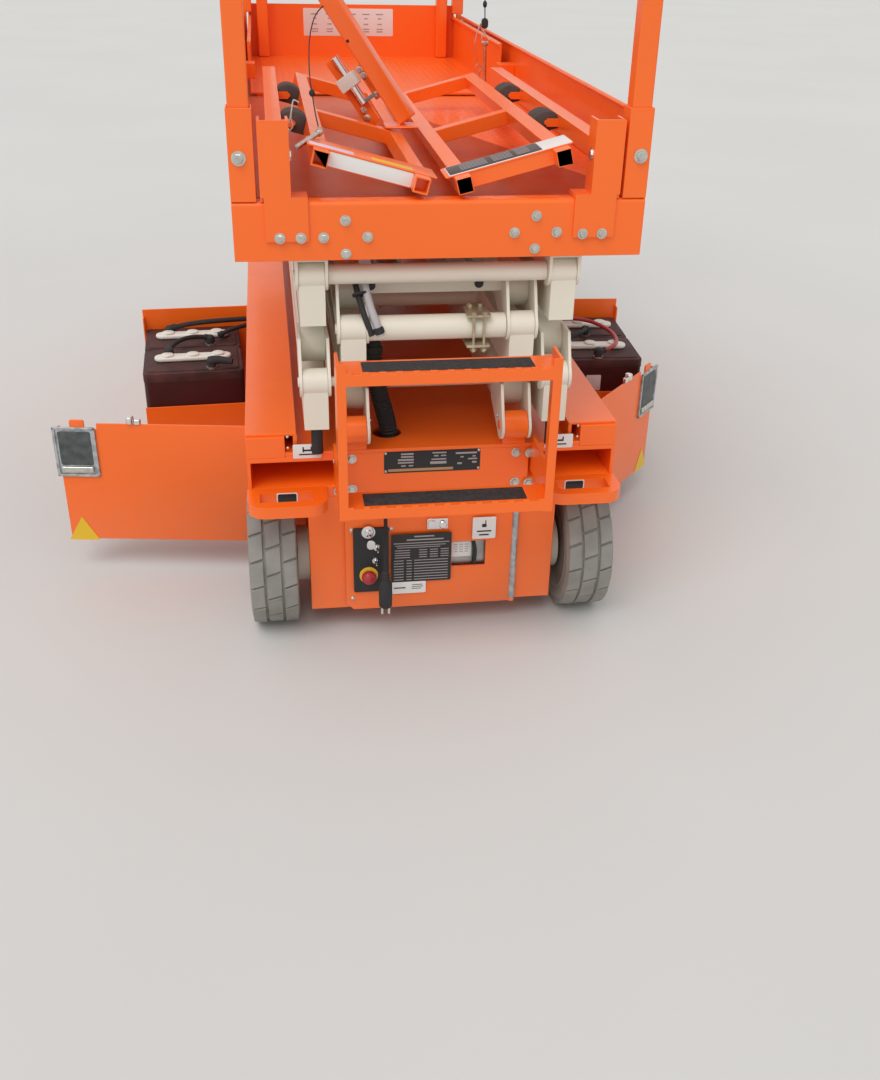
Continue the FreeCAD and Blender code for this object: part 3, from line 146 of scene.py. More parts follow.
def lathe(profile, sides=32, start=0.0):
    """A profile of (height, radius) pairs turned about z: x = radius * cos, y = radius * sin."""
    profile = np.asarray(profile, float)
    turn = start + np.linspace(0, 2 * math.pi, sides, endpoint=False)
    circle = np.stack([np.cos(turn), np.sin(turn)], -1)
    ring = profile[:, 1, None, None] * circle[None]
    height = np.broadcast_to(profile[:, 0, None, None], ring.shape[:2] + (1,))
    return loft(np.concatenate([ring, height], -1))


def round_outline(half_wide, half_deep, corner, steps=5):
    """Rectangle with quarter-circle corners; the sizes may be arrays, one outline for each."""
    half_wide, half_deep, corner = np.broadcast_arrays(*(np.asarray(size, float)[..., None, None]
                                                         for size in (half_wide, half_deep, corner)))
    turn = np.linspace(0, math.pi / 2, steps)[None] + np.arange(4)[:, None] * math.pi / 2
    quarters = np.array([[1, 1], [-1, 1], [-1, -1], [1, -1]], float)
    x = (half_wide - corner) * quarters[:, :1] + corner * np.cos(turn)
    y = (half_deep - corner) * quarters[:, 1:] + corner * np.sin(turn)
    return np.stack([x, y], -1).reshape(x.shape[:-2] + (-1, 2))


def slab(low, high, axis="z", corner=0.003, edge=0.001, steps=5):
    """Box between two corners. Its outline across the axis has round corners, and it shrinks by
    edge * (1 - sin) while it climbs by edge * (1 - cos), so that the rims are quarter circles."""
    order = {"z": [0, 1, 2], "x": [1, 2, 0], "y": [2, 0, 1]}[axis]
    low = np.asarray(low, float)[order]
    high = np.asarray(high, float)[order]
    half = (high - low) / 2
    middle = (high + low) / 2
    turn = np.linspace(0, math.pi / 2, 4)
    inset = edge * (1 - np.sin(turn))
    climb = edge * (1 - np.cos(turn))
    inset = np.concatenate([inset, inset[::-1]])
    height = np.concatenate([-half[2] + climb, (half[2] - climb)[::-1]])
    outline = round_outline(half[0] - inset, half[1] - inset, np.maximum(corner - inset, 1e-5), steps)
    lift = np.broadcast_to(height[:, None, None], outline.shape[:2] + (1,))
    points, sides, caps = loft(np.concatenate([outline, lift], -1) + middle)
    back = np.argsort(order)
    return points[:, back], sides, caps


def smooth_path(spots, steps=8):
    """Line along chosen spots: a parabola from the middle of each run to the middle of the next, with the
    spot between them as its control point; the ends are kept."""
    spots = np.asarray(spots, float)
    middles = (spots[:-1] + spots[1:]) / 2
    middles[0] = spots[0]
    middles[-1] = spots[-1]
    t = np.linspace(0, 1, steps, endpoint=False)[None, :, None]
    start, end = middles[:-1, None], middles[1:, None]
    arcs = (1 - t) ** 2 * start + 2 * t * (1 - t) * spots[1:-1, None] + t ** 2 * end
    return np.concatenate([arcs.reshape(-1, 3), spots[-1:]])


def pipe(path, radius, sides=12, level=(0.0, 0.0, 1.0)):
    """Round tube along a path: a circle square to the path at each point; radius may differ along it."""
    path = np.asarray(path, float)
    run = np.gradient(path, axis=0)
    run = run / np.linalg.norm(run, axis=1, keepdims=True)
    side = np.cross(np.asarray(level, float), run)
    side = side / np.linalg.norm(side, axis=1, keepdims=True)
    other = np.cross(run, side)
    turn = np.linspace(0, 2 * math.pi, sides, endpoint=False)
    size = np.broadcast_to(np.asarray(radius, float), (len(path),))[:, None, None]
    ring = size * (np.cos(turn)[None, :, None] * side[:, None] + np.sin(turn)[None, :, None] * other[:, None])
    return loft(path[:, None] + ring)


def bolt(width, height, washer=1.35):
    """Hexagon head standing on +z, with a domed top, on a thin washer."""
    flat = width / 2 / math.cos(math.pi / 6)
    base = height * 0.25
    ring = [(0, 0.2 * flat), (0, flat * washer), (base * 0.8, flat * washer), (base, flat * 1.2)]
    return joined(lathe(ring, 16), lathe([(base, flat), (height * 0.85, flat), (height, flat * 0.82)], 6))


def rivet(radius, height):
    """Round head: a quarter ellipse turned about z."""
    turn = np.linspace(0, math.pi / 2, 5)
    profile = np.stack([height * np.sin(turn), radius * np.cos(turn) + 1e-5], -1)
    return lathe(profile, 14)


def plate(wide, high, thick=0.0006, corner=0.003):
    """Thin sign centred on its own origin, standing out of the surface by its thickness."""
    return slab((-wide / 2, -high / 2, -0.0001), (wide / 2, high / 2, thick), "z", corner, thick * 0.3, 4)


# Finishes: every one is a node material on Object coordinates


def finish(name, colour, rough, metal=0.0, mottle=0.05, mottle_scale=3.0, rough_spread=0.08,
           grain_scale=350.0, grain=0.08, dust=0.0, coat=0.0):
    """Colour varied by a wide noise, roughness by a middle one and a fine bump; dust pales the low parts."""
    material = bpy.data.materials.get(name)
    if material:
        return material
    material = bpy.data.materials.new(name)
    material.use_nodes = True
    nodes = material.node_tree.nodes
    links = material.node_tree.links
    shader = nodes["Principled BSDF"]
    shader.inputs["Metallic"].default_value = metal
    shader.inputs["Coat Weight"].default_value = coat
    shader.inputs["Coat Roughness"].default_value = 0.12
    place = nodes.new("ShaderNodeTexCoord")
    wide = nodes.new("ShaderNodeTexNoise")
    wide.inputs["Scale"].default_value = mottle_scale
    wide.inputs["Detail"].default_value = 5
    links.new(place.outputs["Object"], wide.inputs["Vector"])
    shades = nodes.new("ShaderNodeValToRGB")
    shades.color_ramp.elements[0].position = 0.3
    shades.color_ramp.elements[1].position = 0.7
    shades.color_ramp.elements[0].color = [*(channel * (1 - mottle) for channel in colour), 1]
    shades.color_ramp.elements[1].color = [*(min(channel * (1 + mottle), 1) for channel in colour), 1]
    links.new(wide.outputs["Fac"], shades.inputs["Fac"])
    tone = shades.outputs["Color"]
    if dust:
        tone = dusted(nodes, links, place, tone, dust)
    links.new(tone, shader.inputs["Base Color"])
    spread = nodes.new("ShaderNodeMapRange")
    spread.inputs["To Min"].default_value = max(rough - rough_spread, 0.03)
    spread.inputs["To Max"].default_value = min(rough + rough_spread, 1.0)
    patch = nodes.new("ShaderNodeTexNoise")
    patch.inputs["Scale"].default_value = mottle_scale * 7
    patch.inputs["Detail"].default_value = 4
    links.new(place.outputs["Object"], patch.inputs["Vector"])
    links.new(patch.outputs["Fac"], spread.inputs["Value"])
    links.new(spread.outputs["Result"], shader.inputs["Roughness"])
    fine = nodes.new("ShaderNodeTexNoise")
    fine.inputs["Scale"].default_value = grain_scale
    fine.inputs["Detail"].default_value = 2
    links.new(place.outputs["Object"], fine.inputs["Vector"])
    bump = nodes.new("ShaderNodeBump")
    bump.inputs["Strength"].default_value = grain
    bump.inputs["Distance"].default_value = 0.0006
    links.new(fine.outputs["Fac"], bump.inputs["Height"])
    links.new(bump.outputs["Normal"], shader.inputs["Normal"])
    return material


def dusted(nodes, links, place, tone, amount):
    """Pale dust that fades out over the lowest 0.25 m, broken up by noise."""
    height = nodes.new("ShaderNodeSeparateXYZ")
    links.new(place.outputs["Object"], height.inputs["Vector"])
    fade = nodes.new("ShaderNodeMapRange")
    fade.inputs["From Min"].default_value = 0.25
    fade.inputs["From Max"].default_value = 0.0
    links.new(height.outputs["Z"], fade.inputs["Value"])
    noise = nodes.new("ShaderNodeTexNoise")
    noise.inputs["Scale"].default_value = 28
    noise.inputs["Detail"].default_value = 6
    links.new(place.outputs["Object"], noise.inputs["Vector"])
    share = nodes.new("ShaderNodeMath")
    share.operation = "MULTIPLY"
    links.new(fade.outputs["Result"], share.inputs[0])
    links.new(noise.outputs["Fac"], share.inputs[1])
    scale = nodes.new("ShaderNodeMath")
    scale.operation = "MULTIPLY"
    scale.inputs[1].default_value = amount
    links.new(share.outputs["Value"], scale.inputs[0])
    mix = nodes.new("ShaderNodeMix")
    mix.data_type = "RGBA"
    links.new(scale.outputs["Value"], mix.inputs["Factor"])
    links.new(tone, mix.inputs["A"])
    mix.inputs["B"].default_value = (0.42, 0.38, 0.32, 1)
    return mix.outputs["Result"]


def studded(material, pitch, share, depth):
    """Anti-slip studs on level faces: a raised dot in every cell of a slanted grid."""
    nodes = material.node_tree.nodes
    links = material.node_tree.links
    place = nodes["Texture Coordinate"]
    turn = nodes.new("ShaderNodeMapping")
    turn.inputs["Rotation"].default_value = (0, 0, math.pi / 4)
    turn.inputs["Scale"].default_value = (1 / pitch, 1 / pitch, 0)
    links.new(place.outputs["Object"], turn.inputs["Vector"])
    cell = nodes.new("ShaderNodeVectorMath")
    cell.operation = "FRACTION"
    links.new(turn.outputs["Vector"], cell.inputs[0])
    middle = nodes.new("ShaderNodeVectorMath")
    middle.operation = "DISTANCE"
    middle.inputs[1].default_value = (0.5, 0.5, 0)
    links.new(cell.outputs["Vector"], middle.inputs[0])
    stud = nodes.new("ShaderNodeMapRange")
    stud.interpolation_type = "SMOOTHSTEP"
    stud.inputs["From Min"].default_value = share
    stud.inputs["From Max"].default_value = share * 0.5
    links.new(middle.outputs["Value"], stud.inputs["Value"])
    look = nodes.new("ShaderNodeNewGeometry")
    split = nodes.new("ShaderNodeSeparateXYZ")
    links.new(look.outputs["Normal"], split.inputs["Vector"])
    level = nodes.new("ShaderNodeMath")
    level.operation = "GREATER_THAN"
    level.inputs[1].default_value = 0.9
    links.new(split.outputs["Z"], level.inputs[0])
    height = nodes.new("ShaderNodeMath")
    height.operation = "MULTIPLY"
    links.new(stud.outputs["Result"], height.inputs[0])
    links.new(level.outputs["Value"], height.inputs[1])
    raised = nodes.new("ShaderNodeBump")
    raised.inputs["Strength"].default_value = 1.0
    raised.inputs["Distance"].default_value = depth
    links.new(height.outputs["Value"], raised.inputs["Height"])
    shader = nodes["Principled BSDF"]
    links.new(shader.inputs["Normal"].links[0].from_socket, raised.inputs["Normal"])
    links.new(raised.outputs["Normal"], shader.inputs["Normal"])
    return material


def slot_finish(slot):
    """The finish of one of the record's material slots."""
    look = bpy.context.scene.lift_finish
    makers = {
        "orange_paint": dict(colour=look.orange, rough=look.gloss, mottle=0.03, coat=0.25, dust=0.25),
        "white_paint": dict(colour=look.cream, rough=0.42, mottle=0.04, coat=0.1),
        "grey_tyre": dict(colour=look.tyre, rough=0.85, mottle=0.16, mottle_scale=14, grain=0.5,
                          grain_scale=260, dust=0.5),
        "cream_rim": dict(colour=look.cream, rough=0.5, mottle=0.08, dust=0.4),
        "steel": dict(colour=(0.42, 0.42, 0.41), rough=0.38, metal=1.0, mottle=0.2, mottle_scale=30),
        "chrome_steel": dict(colour=(0.78, 0.78, 0.78), rough=0.14, metal=1.0, mottle=0.05),
        "black_plastic": dict(colour=(0.018, 0.018, 0.02), rough=0.48, mottle=0.3, grain=0.3,
                              grain_scale=900),
        "grey_plastic": dict(colour=(0.2, 0.21, 0.22), rough=0.5, mottle=0.1, grain=0.25, grain_scale=700),
        "red_plastic": dict(colour=(0.42, 0.03, 0.04), rough=0.35, mottle=0.08),
        "maroon_plastic": dict(colour=look.battery, rough=0.42, mottle=0.22, mottle_scale=9, dust=0.3),
        "white_plastic": dict(colour=(0.75, 0.74, 0.68), rough=0.45, mottle=0.06),
        "black_rubber": dict(colour=(0.022, 0.022, 0.023), rough=0.72, mottle=0.25, grain=0.4,
                             grain_scale=500),
    }
    return finish("lift_" + slot, **makers[slot])


def own(slot):
    """A slot's finish and the slot, as piece() takes them."""
    return slot_finish(slot), slot


def extra_finish(name):
    """Finishes of small pieces that share a slot with something else."""
    makers = {
        "galvanised": dict(colour=(0.46, 0.49, 0.5), rough=0.45, metal=0.75, mottle=0.35, mottle_scale=60),
        "zinc_bolts": dict(colour=(0.62, 0.61, 0.56), rough=0.3, metal=1.0, mottle=0.15, mottle_scale=90),
        "sign_white": dict(colour=(0.78, 0.78, 0.76), rough=0.4, mottle=0.03),
        "sign_black": dict(colour=(0.015, 0.015, 0.016), rough=0.35, mottle=0.2),
        "sign_yellow": dict(colour=(0.8, 0.5, 0.02), rough=0.4, mottle=0.05),
        "grip_strip": dict(colour=(0.035, 0.035, 0.037), rough=0.9, mottle=0.4, mottle_scale=120, grain=1.0,
                           grain_scale=1400),
        "battery_lid": dict(colour=(0.06, 0.018, 0.016), rough=0.65, mottle=0.5, mottle_scale=18, dust=0.0),
        "lead_terminal": dict(colour=(0.5, 0.48, 0.45), rough=0.4, metal=0.9, mottle=0.3, mottle_scale=80),
        # painted shade: a dark red-brown that stands for the shade inside an orange tube, not a paint colour
        # of its own
        "tube_inside": dict(colour=(0.06, 0.012, 0.006), rough=0.9, mottle=0.3),
        "sign_grey": dict(colour=(0.38, 0.36, 0.36), rough=0.5, mottle=0.1),
        "sign_tan": dict(colour=(0.45, 0.27, 0.12), rough=0.45, mottle=0.08),
        "sign_lilac": dict(colour=(0.74, 0.66, 0.82), rough=0.35, mottle=0.04),
        "latch_pad": dict(colour=(0.10, 0.115, 0.115), rough=0.4, metal=0.6, mottle=0.3, mottle_scale=50),
        "pale_hose": dict(colour=(0.46, 0.45, 0.46), rough=0.5, mottle=0.1),
        "dusty_rubber": dict(colour=(0.075, 0.055, 0.048), rough=0.85, mottle=0.25, mottle_scale=25,
                             grain=0.4),
        "passivated": dict(colour=(0.55, 0.5, 0.36), rough=0.35, metal=0.8, mottle=0.2, mottle_scale=70),
    }
    return finish(name, **makers[name])


# Pieces


def piece(name, form, body, material, slot, smooth=35.0):
    """A mesh object from a form: placed in its mesh, faces turned outwards, riding on its body."""
    points, sides, caps = form
    counts = np.concatenate([np.full(len(sides), 4), [len(cap) for cap in caps]]).astype(np.int32)
    corners = np.concatenate([sides.ravel(), *caps]).astype(np.int32)
    mesh = bpy.data.meshes.new(name)
    mesh.vertices.add(len(points))
    mesh.vertices.foreach_set("co", np.ascontiguousarray(points, np.float32).ravel())
    mesh.loops.add(len(corners))
    mesh.loops.foreach_set("vertex_index", corners)
    mesh.polygons.add(len(counts))
    mesh.polygons.foreach_set("loop_start", np.cumsum(counts) - counts)
    mesh.update(calc_edges=True)
    mesh.validate()
    work = bmesh.new()
    work.from_mesh(mesh)
    bmesh.ops.recalc_face_normals(work, faces=work.faces)
    work.to_mesh(mesh)
    work.free()
    mesh.shade_smooth()
    mesh.set_sharp_from_angle(angle=math.radians(smooth))
    made = bpy.data.objects.new(name, mesh)
    bpy.context.scene.collection.objects.link(made)
    mesh.materials.append(material)
    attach(made, body)
    return made


BODY_OF = {node: body for body, nodes in frame["record"]["behaviour"]["bodies"].items() for node in nodes}
SLOT_OF = {part["node"]: part["material_slot"] for part in frame["record"]["subparts"]}


def painted(node, material=None):
    """Gives a node that stays as it is the finish of its slot."""
    shape = frame["nodes"][node].data
    shape.materials.clear()
    shape.materials.append(material or slot_finish(SLOT_OF[node]))


def softened(node, width, material=None):
    """Copy of a node with its doubles merged and flat faces joined, its edges rounded by a bevel."""
    mesh = frame["nodes"][node].data.copy()
    work = bmesh.new()
    work.from_mesh(mesh)
    bmesh.ops.remove_doubles(work, verts=work.verts, dist=1e-5)
    bmesh.ops.dissolve_limit(work, angle_limit=math.radians(0.5), verts=work.verts, edges=work.edges)
    work.to_mesh(mesh)
    work.free()
    mesh.materials.clear()
    mesh.materials.append(material or slot_finish(SLOT_OF[node]))
    mesh.shade_smooth()
    mesh.set_sharp_from_angle(angle=math.radians(35))
    made = bpy.data.objects.new(node + "_skin", mesh)
    bpy.context.scene.collection.objects.link(made)
    round_edges = made.modifiers.new("round_edges", "BEVEL")
    round_edges.width = width
    round_edges.segments = 2
    round_edges.limit_method = "ANGLE"
    round_edges.angle_limit = math.radians(35)
    round_edges.harden_normals = True
    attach(made, BODY_OF[node])
    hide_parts(node)
    return made


def sign(name, body, look, where, size, thick=0.6):
    """Blank plate facing the rear, its middle at a place on a surface; all sizes in millimetres."""
    form = turned(plate(*mm(*size), thick * MM), REARWARD, mm(*where))
    return piece(name, form, body, extra_finish(look), "white_plastic")


def bars(rows, lift):
    """Plain bars in place of print: each row gives a bar's middle across and up, its width and its height."""
    thick = 0.0003
    corner = 0.0004
    return joined(*(turned(plate(*mm(wide, high), thick, corner), LEVEL, mm(x, y, lift))
                    for x, y, wide, high in rows))


def printed(name, body, look, where, rows):
    """Bars that stand on a sign's face; all sizes in millimetres."""
    sign_thick = 0.7
    form = turned(bars(rows, sign_thick), REARWARD, mm(*where))
    return piece(name, form, body, extra_finish(look), "white_plastic")


def wire(spots, radius=0.0013):
    """Bent steel wire through chosen spots in millimetres, in a plane square to y."""
    return pipe(smooth_path(mm(*spots), 5), radius, 8, (0, 1, 0))


def cord_curve(name, route, radius, body, material, slot):
    """A cord's curve: one open NURBS spline of order 3 with the route's points, in metres."""
    curve = bpy.data.curves.new(name, "CURVE")
    curve.dimensions = "3D"
    line = curve.splines.new("NURBS")
    line.points.add(len(route) - 1)
    line.points.foreach_set("co", np.concatenate([route, np.ones((len(route), 1))], 1).ravel())
    line.order_u = 3
    line.use_endpoint_u = True
    curve.bevel_depth = radius
    curve.bevel_resolution = 4
    curve.use_fill_caps = True
    curve.resolution_u = 12
    curve.materials.append(material)
    made = bpy.data.objects.new(name, curve)
    bpy.context.scene.collection.objects.link(made)
    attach(made, body)
    return made


def drawn(cord):
    """Points of the line that a cord's curve draws, without its thickness."""
    depth = cord.data.bevel_depth
    cord.data.bevel_depth = 0
    mesh = bpy.data.meshes.new_from_object(cord)
    points = np.empty(len(mesh.vertices) * 3)
    mesh.vertices.foreach_get("co", points)
    bpy.data.meshes.remove(mesh)
    cord.data.bevel_depth = depth
    return points.reshape(-1, 3)


def declared(cord):
    length = float(np.linalg.norm(np.diff(drawn(cord), axis=0), axis=1).sum())


def bead(cord, share, profile):
    """A turned bead on a cord, its axis the drawn line's direction at a share of that line."""
    points = drawn(cord)
    at = int(share * (len(points) - 2))
    return turned(lathe(profile, 16), along(points[at + 1] - points[at]), points[at])


# Sizes and colours that a user would change


class LiftFinish(bpy.types.PropertyGroup):
    orange: FloatVectorProperty(name="Orange paint", description="Colour of the frame and platform",
                                default=(0.98, 0.155, 0.009), subtype="COLOR", size=3, min=0, max=1)
    cream: FloatVectorProperty(name="Cream paint", description="Colour of the scissor arms and rims",
                               default=(0.78, 0.74, 0.63), subtype="COLOR", size=3, min=0, max=1)
    tyre: FloatVectorProperty(name="Tyre", description="Colour of the non-marking tyres",
                              default=(0.25, 0.245, 0.225), subtype="COLOR", size=3, min=0, max=1)
    battery: FloatVectorProperty(name="Battery case", description="Colour of the battery cases",
                                 default=(0.045, 0.006, 0.006), subtype="COLOR", size=3, min=0, max=1)
    gloss: FloatProperty(name="Paint roughness", description="Roughness of the orange paint", default=0.34,
                         min=0.05, max=1)


class LiftTyres(bpy.types.PropertyGroup):
    pitch_count: IntProperty(name="Blocks round", description="Tread blocks round one tyre", default=16,
                             min=8, max=40)
    depth: FloatProperty(name="Tread depth", description="Height of the tread blocks", default=0.007,
                         min=0.002, max=0.02, unit="LENGTH")
    gap: FloatProperty(name="Groove", description="Width of the grooves between the blocks", default=0.004,
                       min=0.001, max=0.01, unit="LENGTH")
    slant: FloatProperty(name="Slant", description="Drop of a groove across one outer column", default=0.010,
                         min=0, max=0.03, unit="LENGTH")


class LiftStage(bpy.types.PropertyGroup):
    floor: FloatVectorProperty(name="Floor", description="Colour of the floor", default=(0.62, 0.62, 0.61),
                               subtype="COLOR", size=3, min=0, max=1)
    sky: FloatProperty(name="Sky light", description="Strength of the even light", default=0.75, min=0, max=3)
    lamp: FloatProperty(name="Lamp", description="Strength of the soft sun", default=1.3, min=0, max=10)


# Operators


class LIFT_OT_stage(bpy.types.Operator):
    """Pale floor, even light, one soft sun and the camera at the photograph's angle"""

    bl_idname = "lift.stage"
    bl_label = "Stage"

    def execute(self, context):
        look = context.scene.lift_stage
        reach = 90.0
        count = 7
        steps = np.linspace(-reach, reach, count)
        x, y = np.meshgrid(steps, steps, indexing="ij")
        rows = np.arange(count ** 2).reshape(count, count)
        sides = np.stack([rows[:-1, :-1], rows[1:, :-1], rows[1:, 1:], rows[:-1, 1:]], -1).reshape(-1, 4)
        mesh = bpy.data.meshes.new("floor")
        mesh.from_pydata(np.stack([x, y, x * 0], -1).reshape(-1, 3).tolist(), [], sides.tolist())
        ground = bpy.data.objects.new("floor", mesh)
        context.scene.collection.objects.link(ground)
        concrete = finish("floor", tuple(look.floor), 0.8, mottle=0.02, mottle_scale=0.7, grain=0.0)
        mesh.materials.append(concrete)
        world = bpy.data.worlds.new("studio")
        world.use_nodes = True
        sky = world.node_tree.nodes["Background"]
        sky.inputs["Color"].default_value = (1.0, 0.99, 0.97, 1)
        sky.inputs["Strength"].default_value = look.sky
        context.scene.world = world
        sun = bpy.data.objects.new("sun", bpy.data.lights.new("sun", "SUN"))
        sun.data.energy = look.lamp
        sun.data.angle = math.radians(40)
        sun.rotation_euler = (math.radians(28), math.radians(-22), 0)
        context.scene.collection.objects.link(sun)
        self.camera(context)
        context.scene.view_settings.view_transform = "Standard"
        return {"FINISHED"}

    def camera(self, context):
        """Camera from its height, heading, tilt and roll, worked out from the photograph's perspective."""
        heading = math.radians(8.82)
        tilt = math.radians(29.20)
        roll = math.radians(-1.36)
        level_share = math.cos(tilt)
        ahead = np.array([math.sin(heading) * level_share, math.cos(heading) * level_share, -math.sin(tilt)])
        level = np.array([math.cos(heading), -math.sin(heading), 0.0])
        down = np.cross(ahead, level)
        right = math.cos(roll) * level + math.sin(roll) * down
        below = -math.sin(roll) * level + math.cos(roll) * down
        lens = bpy.data.cameras.new("camera")
        lens.lens = 37.64
        lens.sensor_width = 36
        lens.sensor_fit = "AUTO"
        lens.clip_end = 400
        made = bpy.data.objects.new("camera", lens)
        turn = Matrix([[right[row], -below[row], -ahead[row]] for row in range(3)])
        made.matrix_world = Matrix.Translation((-0.320, -3.248, 1.448)) @ turn.to_4x4()
        context.scene.collection.objects.link(made)
        context.scene.camera = made


SOFT_EDGES = {
    0.0012: ("rear_door", "side_door_left", "side_door_right", "battery_tray_left", "battery_tray_right",
             "toe_boards", "gate_stubs", "extension_deck", "bay_frame", "platform_brackets", "corner_sleeves",
             "platform_deck"),
    0.002: ("rear_frame", "rear_cabinet", "deck_frame", "front_frame", "front_beam", "ladder"),
    0.004: ("tie_loops", "guard_rail_left", "guard_rail_right", "gate_post_left", "gate_post_right",
            "gate_leaf_left", "gate_leaf_right", "gate_bar", "extension_rails"),
    0.005: ("inner_arms_1", "inner_arms_2", "inner_arms_3", "outer_arms_1", "outer_arms_2", "outer_arms_3"),
}


class LIFT_OT_frames(bpy.types.Operator):
    """Paint on every node, with rounded edges on sheet metal, tubes and arms"""

    bl_idname = "lift.frames"
    bl_label = "Painted frames"

    def execute(self, context):
        for node in frame["nodes"]:
            painted(node)
        orange = tuple(context.scene.lift_finish.orange)
        floors = finish("orange_studded", orange, 0.36, mottle=0.03, coat=0.2)
        studded(floors, 0.03, 0.3, 0.002)
        for width, nodes in SOFT_EDGES.items():
            for node in nodes:
                softened(node, width, floors if node in ("platform_deck", "extension_deck") else None)
        return {"FINISHED"}


# Width over which a groove drops by its whole slant
SLANT_OVER = 0.036


class LIFT_OT_tyres(bpy.types.Operator):
    """Grey solid tyres with three columns of slanted tread blocks, and dished cream rims"""

    bl_idname = "lift.tyres"
    bl_label = "Tyres and rims"

    def execute(self, context):
        for spot in ("rear_left", "rear_right", "front_left", "front_right"):
            low, high = low_high("tyre_" + spot)
            centre = (low + high) / 2
            radius = (high[2] - low[2]) / 2
            half = (high[0] - low[0]) / 2
            out = 1.0 if centre[0] > 0 else -1.0
            axes = np.stack([ALONG, UP, ACROSS])
            rim = low_high("rim_" + spot)[1][2] - centre[2]
            tyre = self.tyre(context.scene.lift_tyres, radius, half, rim)
            made = piece("tyre_%s_tread" % spot, turned(tyre, axes, centre), "wheel_" + spot,
                         *own("grey_tyre"), 40)
            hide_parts("tyre_" + spot)
            axes = np.stack([ALONG, UP * out, ACROSS * out])
            made = piece("rim_%s_dish" % spot, turned(self.rim(radius, half), axes, centre), "wheel_" + spot,
                         *own("cream_rim"))
            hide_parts("rim_" + spot)
            ring = np.linspace(0, 2 * math.pi, 5, endpoint=False)
            across = 0.048
            spots = np.stack([across * np.cos(ring), across * np.sin(ring), ring * 0 + half - 0.026], -1)
            nuts = turned(repeated(bolt(0.017, 0.012), spots), axes, centre)
            piece("wheel_nuts_" + spot, nuts, "wheel_" + spot, extra_finish("zinc_bolts"), "steel")
        return {"FINISHED"}

    def tyre(self, look, radius, half, rim):
        """A carcass turned from a round-shouldered profile, and tread blocks that stand on it."""
        floor = radius - look.depth
        shoulder = 0.011
        turn = np.linspace(0, math.pi / 2, 5)
        side = np.stack([-half + shoulder * (1 - np.sin(turn)), floor - shoulder * (1 - np.cos(turn))], -1)
        ribs = [(-half + 0.004, rim), (-half + 0.001, rim + 0.004), (-half + 0.003, rim + 0.012),
                (-half, rim + 0.018), (-half, floor - shoulder - 0.004)]
        left = np.concatenate([ribs, side[::-1]])
        carcass = lathe(np.concatenate([left, left[::-1] * [-1, 1]]), 96)
        pitch = 2 * math.pi / look.pitch_count
        gap = look.gap
        inner = half * 0.36
        columns = ((-half + 0.002, -inner - gap / 2, 0.0), (-inner + gap / 2, inner - gap / 2, pitch / 2),
                   (inner + gap / 2, half - 0.002, 0.0))
        blocks = [self.block(look, radius, low, high, start + number * pitch, pitch - gap / radius)
                  for low, high, start in columns for number in range(look.pitch_count)]
        return joined(carcass, *blocks)

    def block(self, look, radius, low, high, start, span):
        """One block: a slanted patch of the tread. Rings climb from below the groove floor to the top and
        close over it; a point at (across, round) lies at angle start + round + slant * across."""
        across = (low + high) / 2 + (high - low) / 2 * np.array([-1, 1, 1, 1, 1, -1, -1, -1])
        share = np.array([0, 0, 1, 2, 3, 3, 2, 1]) / 3 * span
        slant = -look.slant / SLANT_OVER / radius
        middle = (low + high) / 2
        levels = np.array([-0.002 - look.depth, -0.0012, 0.0])
        inset = np.array([0.0, 0.0006, 0.0018])[:, None]
        wide = across[None] - np.sign(across - middle)[None] * inset
        round_share = share[None] + np.sign(span / 2 - share)[None] * inset / radius
        angle = start + round_share + slant * (across - middle)[None]
        size = (radius + levels)[:, None]
        size = np.where(np.abs(wide) > max(abs(low), abs(high)) - 0.003, size - 0.002, size)
        return loft(np.stack([size * np.cos(angle), size * np.sin(angle), wide], -1))

    def rim(self, radius, half):
        """Dished disc: flange at the tyre, a well, a raised hub and a domed cap, turned from one profile."""
        edge = radius * 0.68
        face = half - 0.006
        profile = [(-half + 0.005, 0.021), (-half + 0.005, edge - 0.012), (-half + 0.004, edge),
                   (face, edge), (face + 0.002, edge - 0.004), (face, edge - 0.009),
                   (face - 0.024, edge - 0.015), (face - 0.026, 0.064), (face - 0.020, 0.060),
                   (face - 0.020, 0.036), (face - 0.008, 0.033), (face - 0.005, 0.028),
                   (face - 0.002, 0.012), (face - 0.002, 0.001)]
        return lathe(profile, 64)


BAY_HINGE = mm(-399, -36, 0)
BAY_ANGLE = math.radians(-87)
DOOR_HINGE = mm(-399, -793, 0)
DOOR_ANGLES = {"left": math.radians(82), "right": math.radians(41)}


def swung(form, hinge, angle, side):
    """A form drawn closed with its hinge at the origin, turned about z and carried to the hinge."""
    cos, sin = math.cos(angle), math.sin(angle)
    return mirrored(turned(form, [[cos, sin, 0], [-sin, cos, 0], [0, 0, 1]], hinge), side)


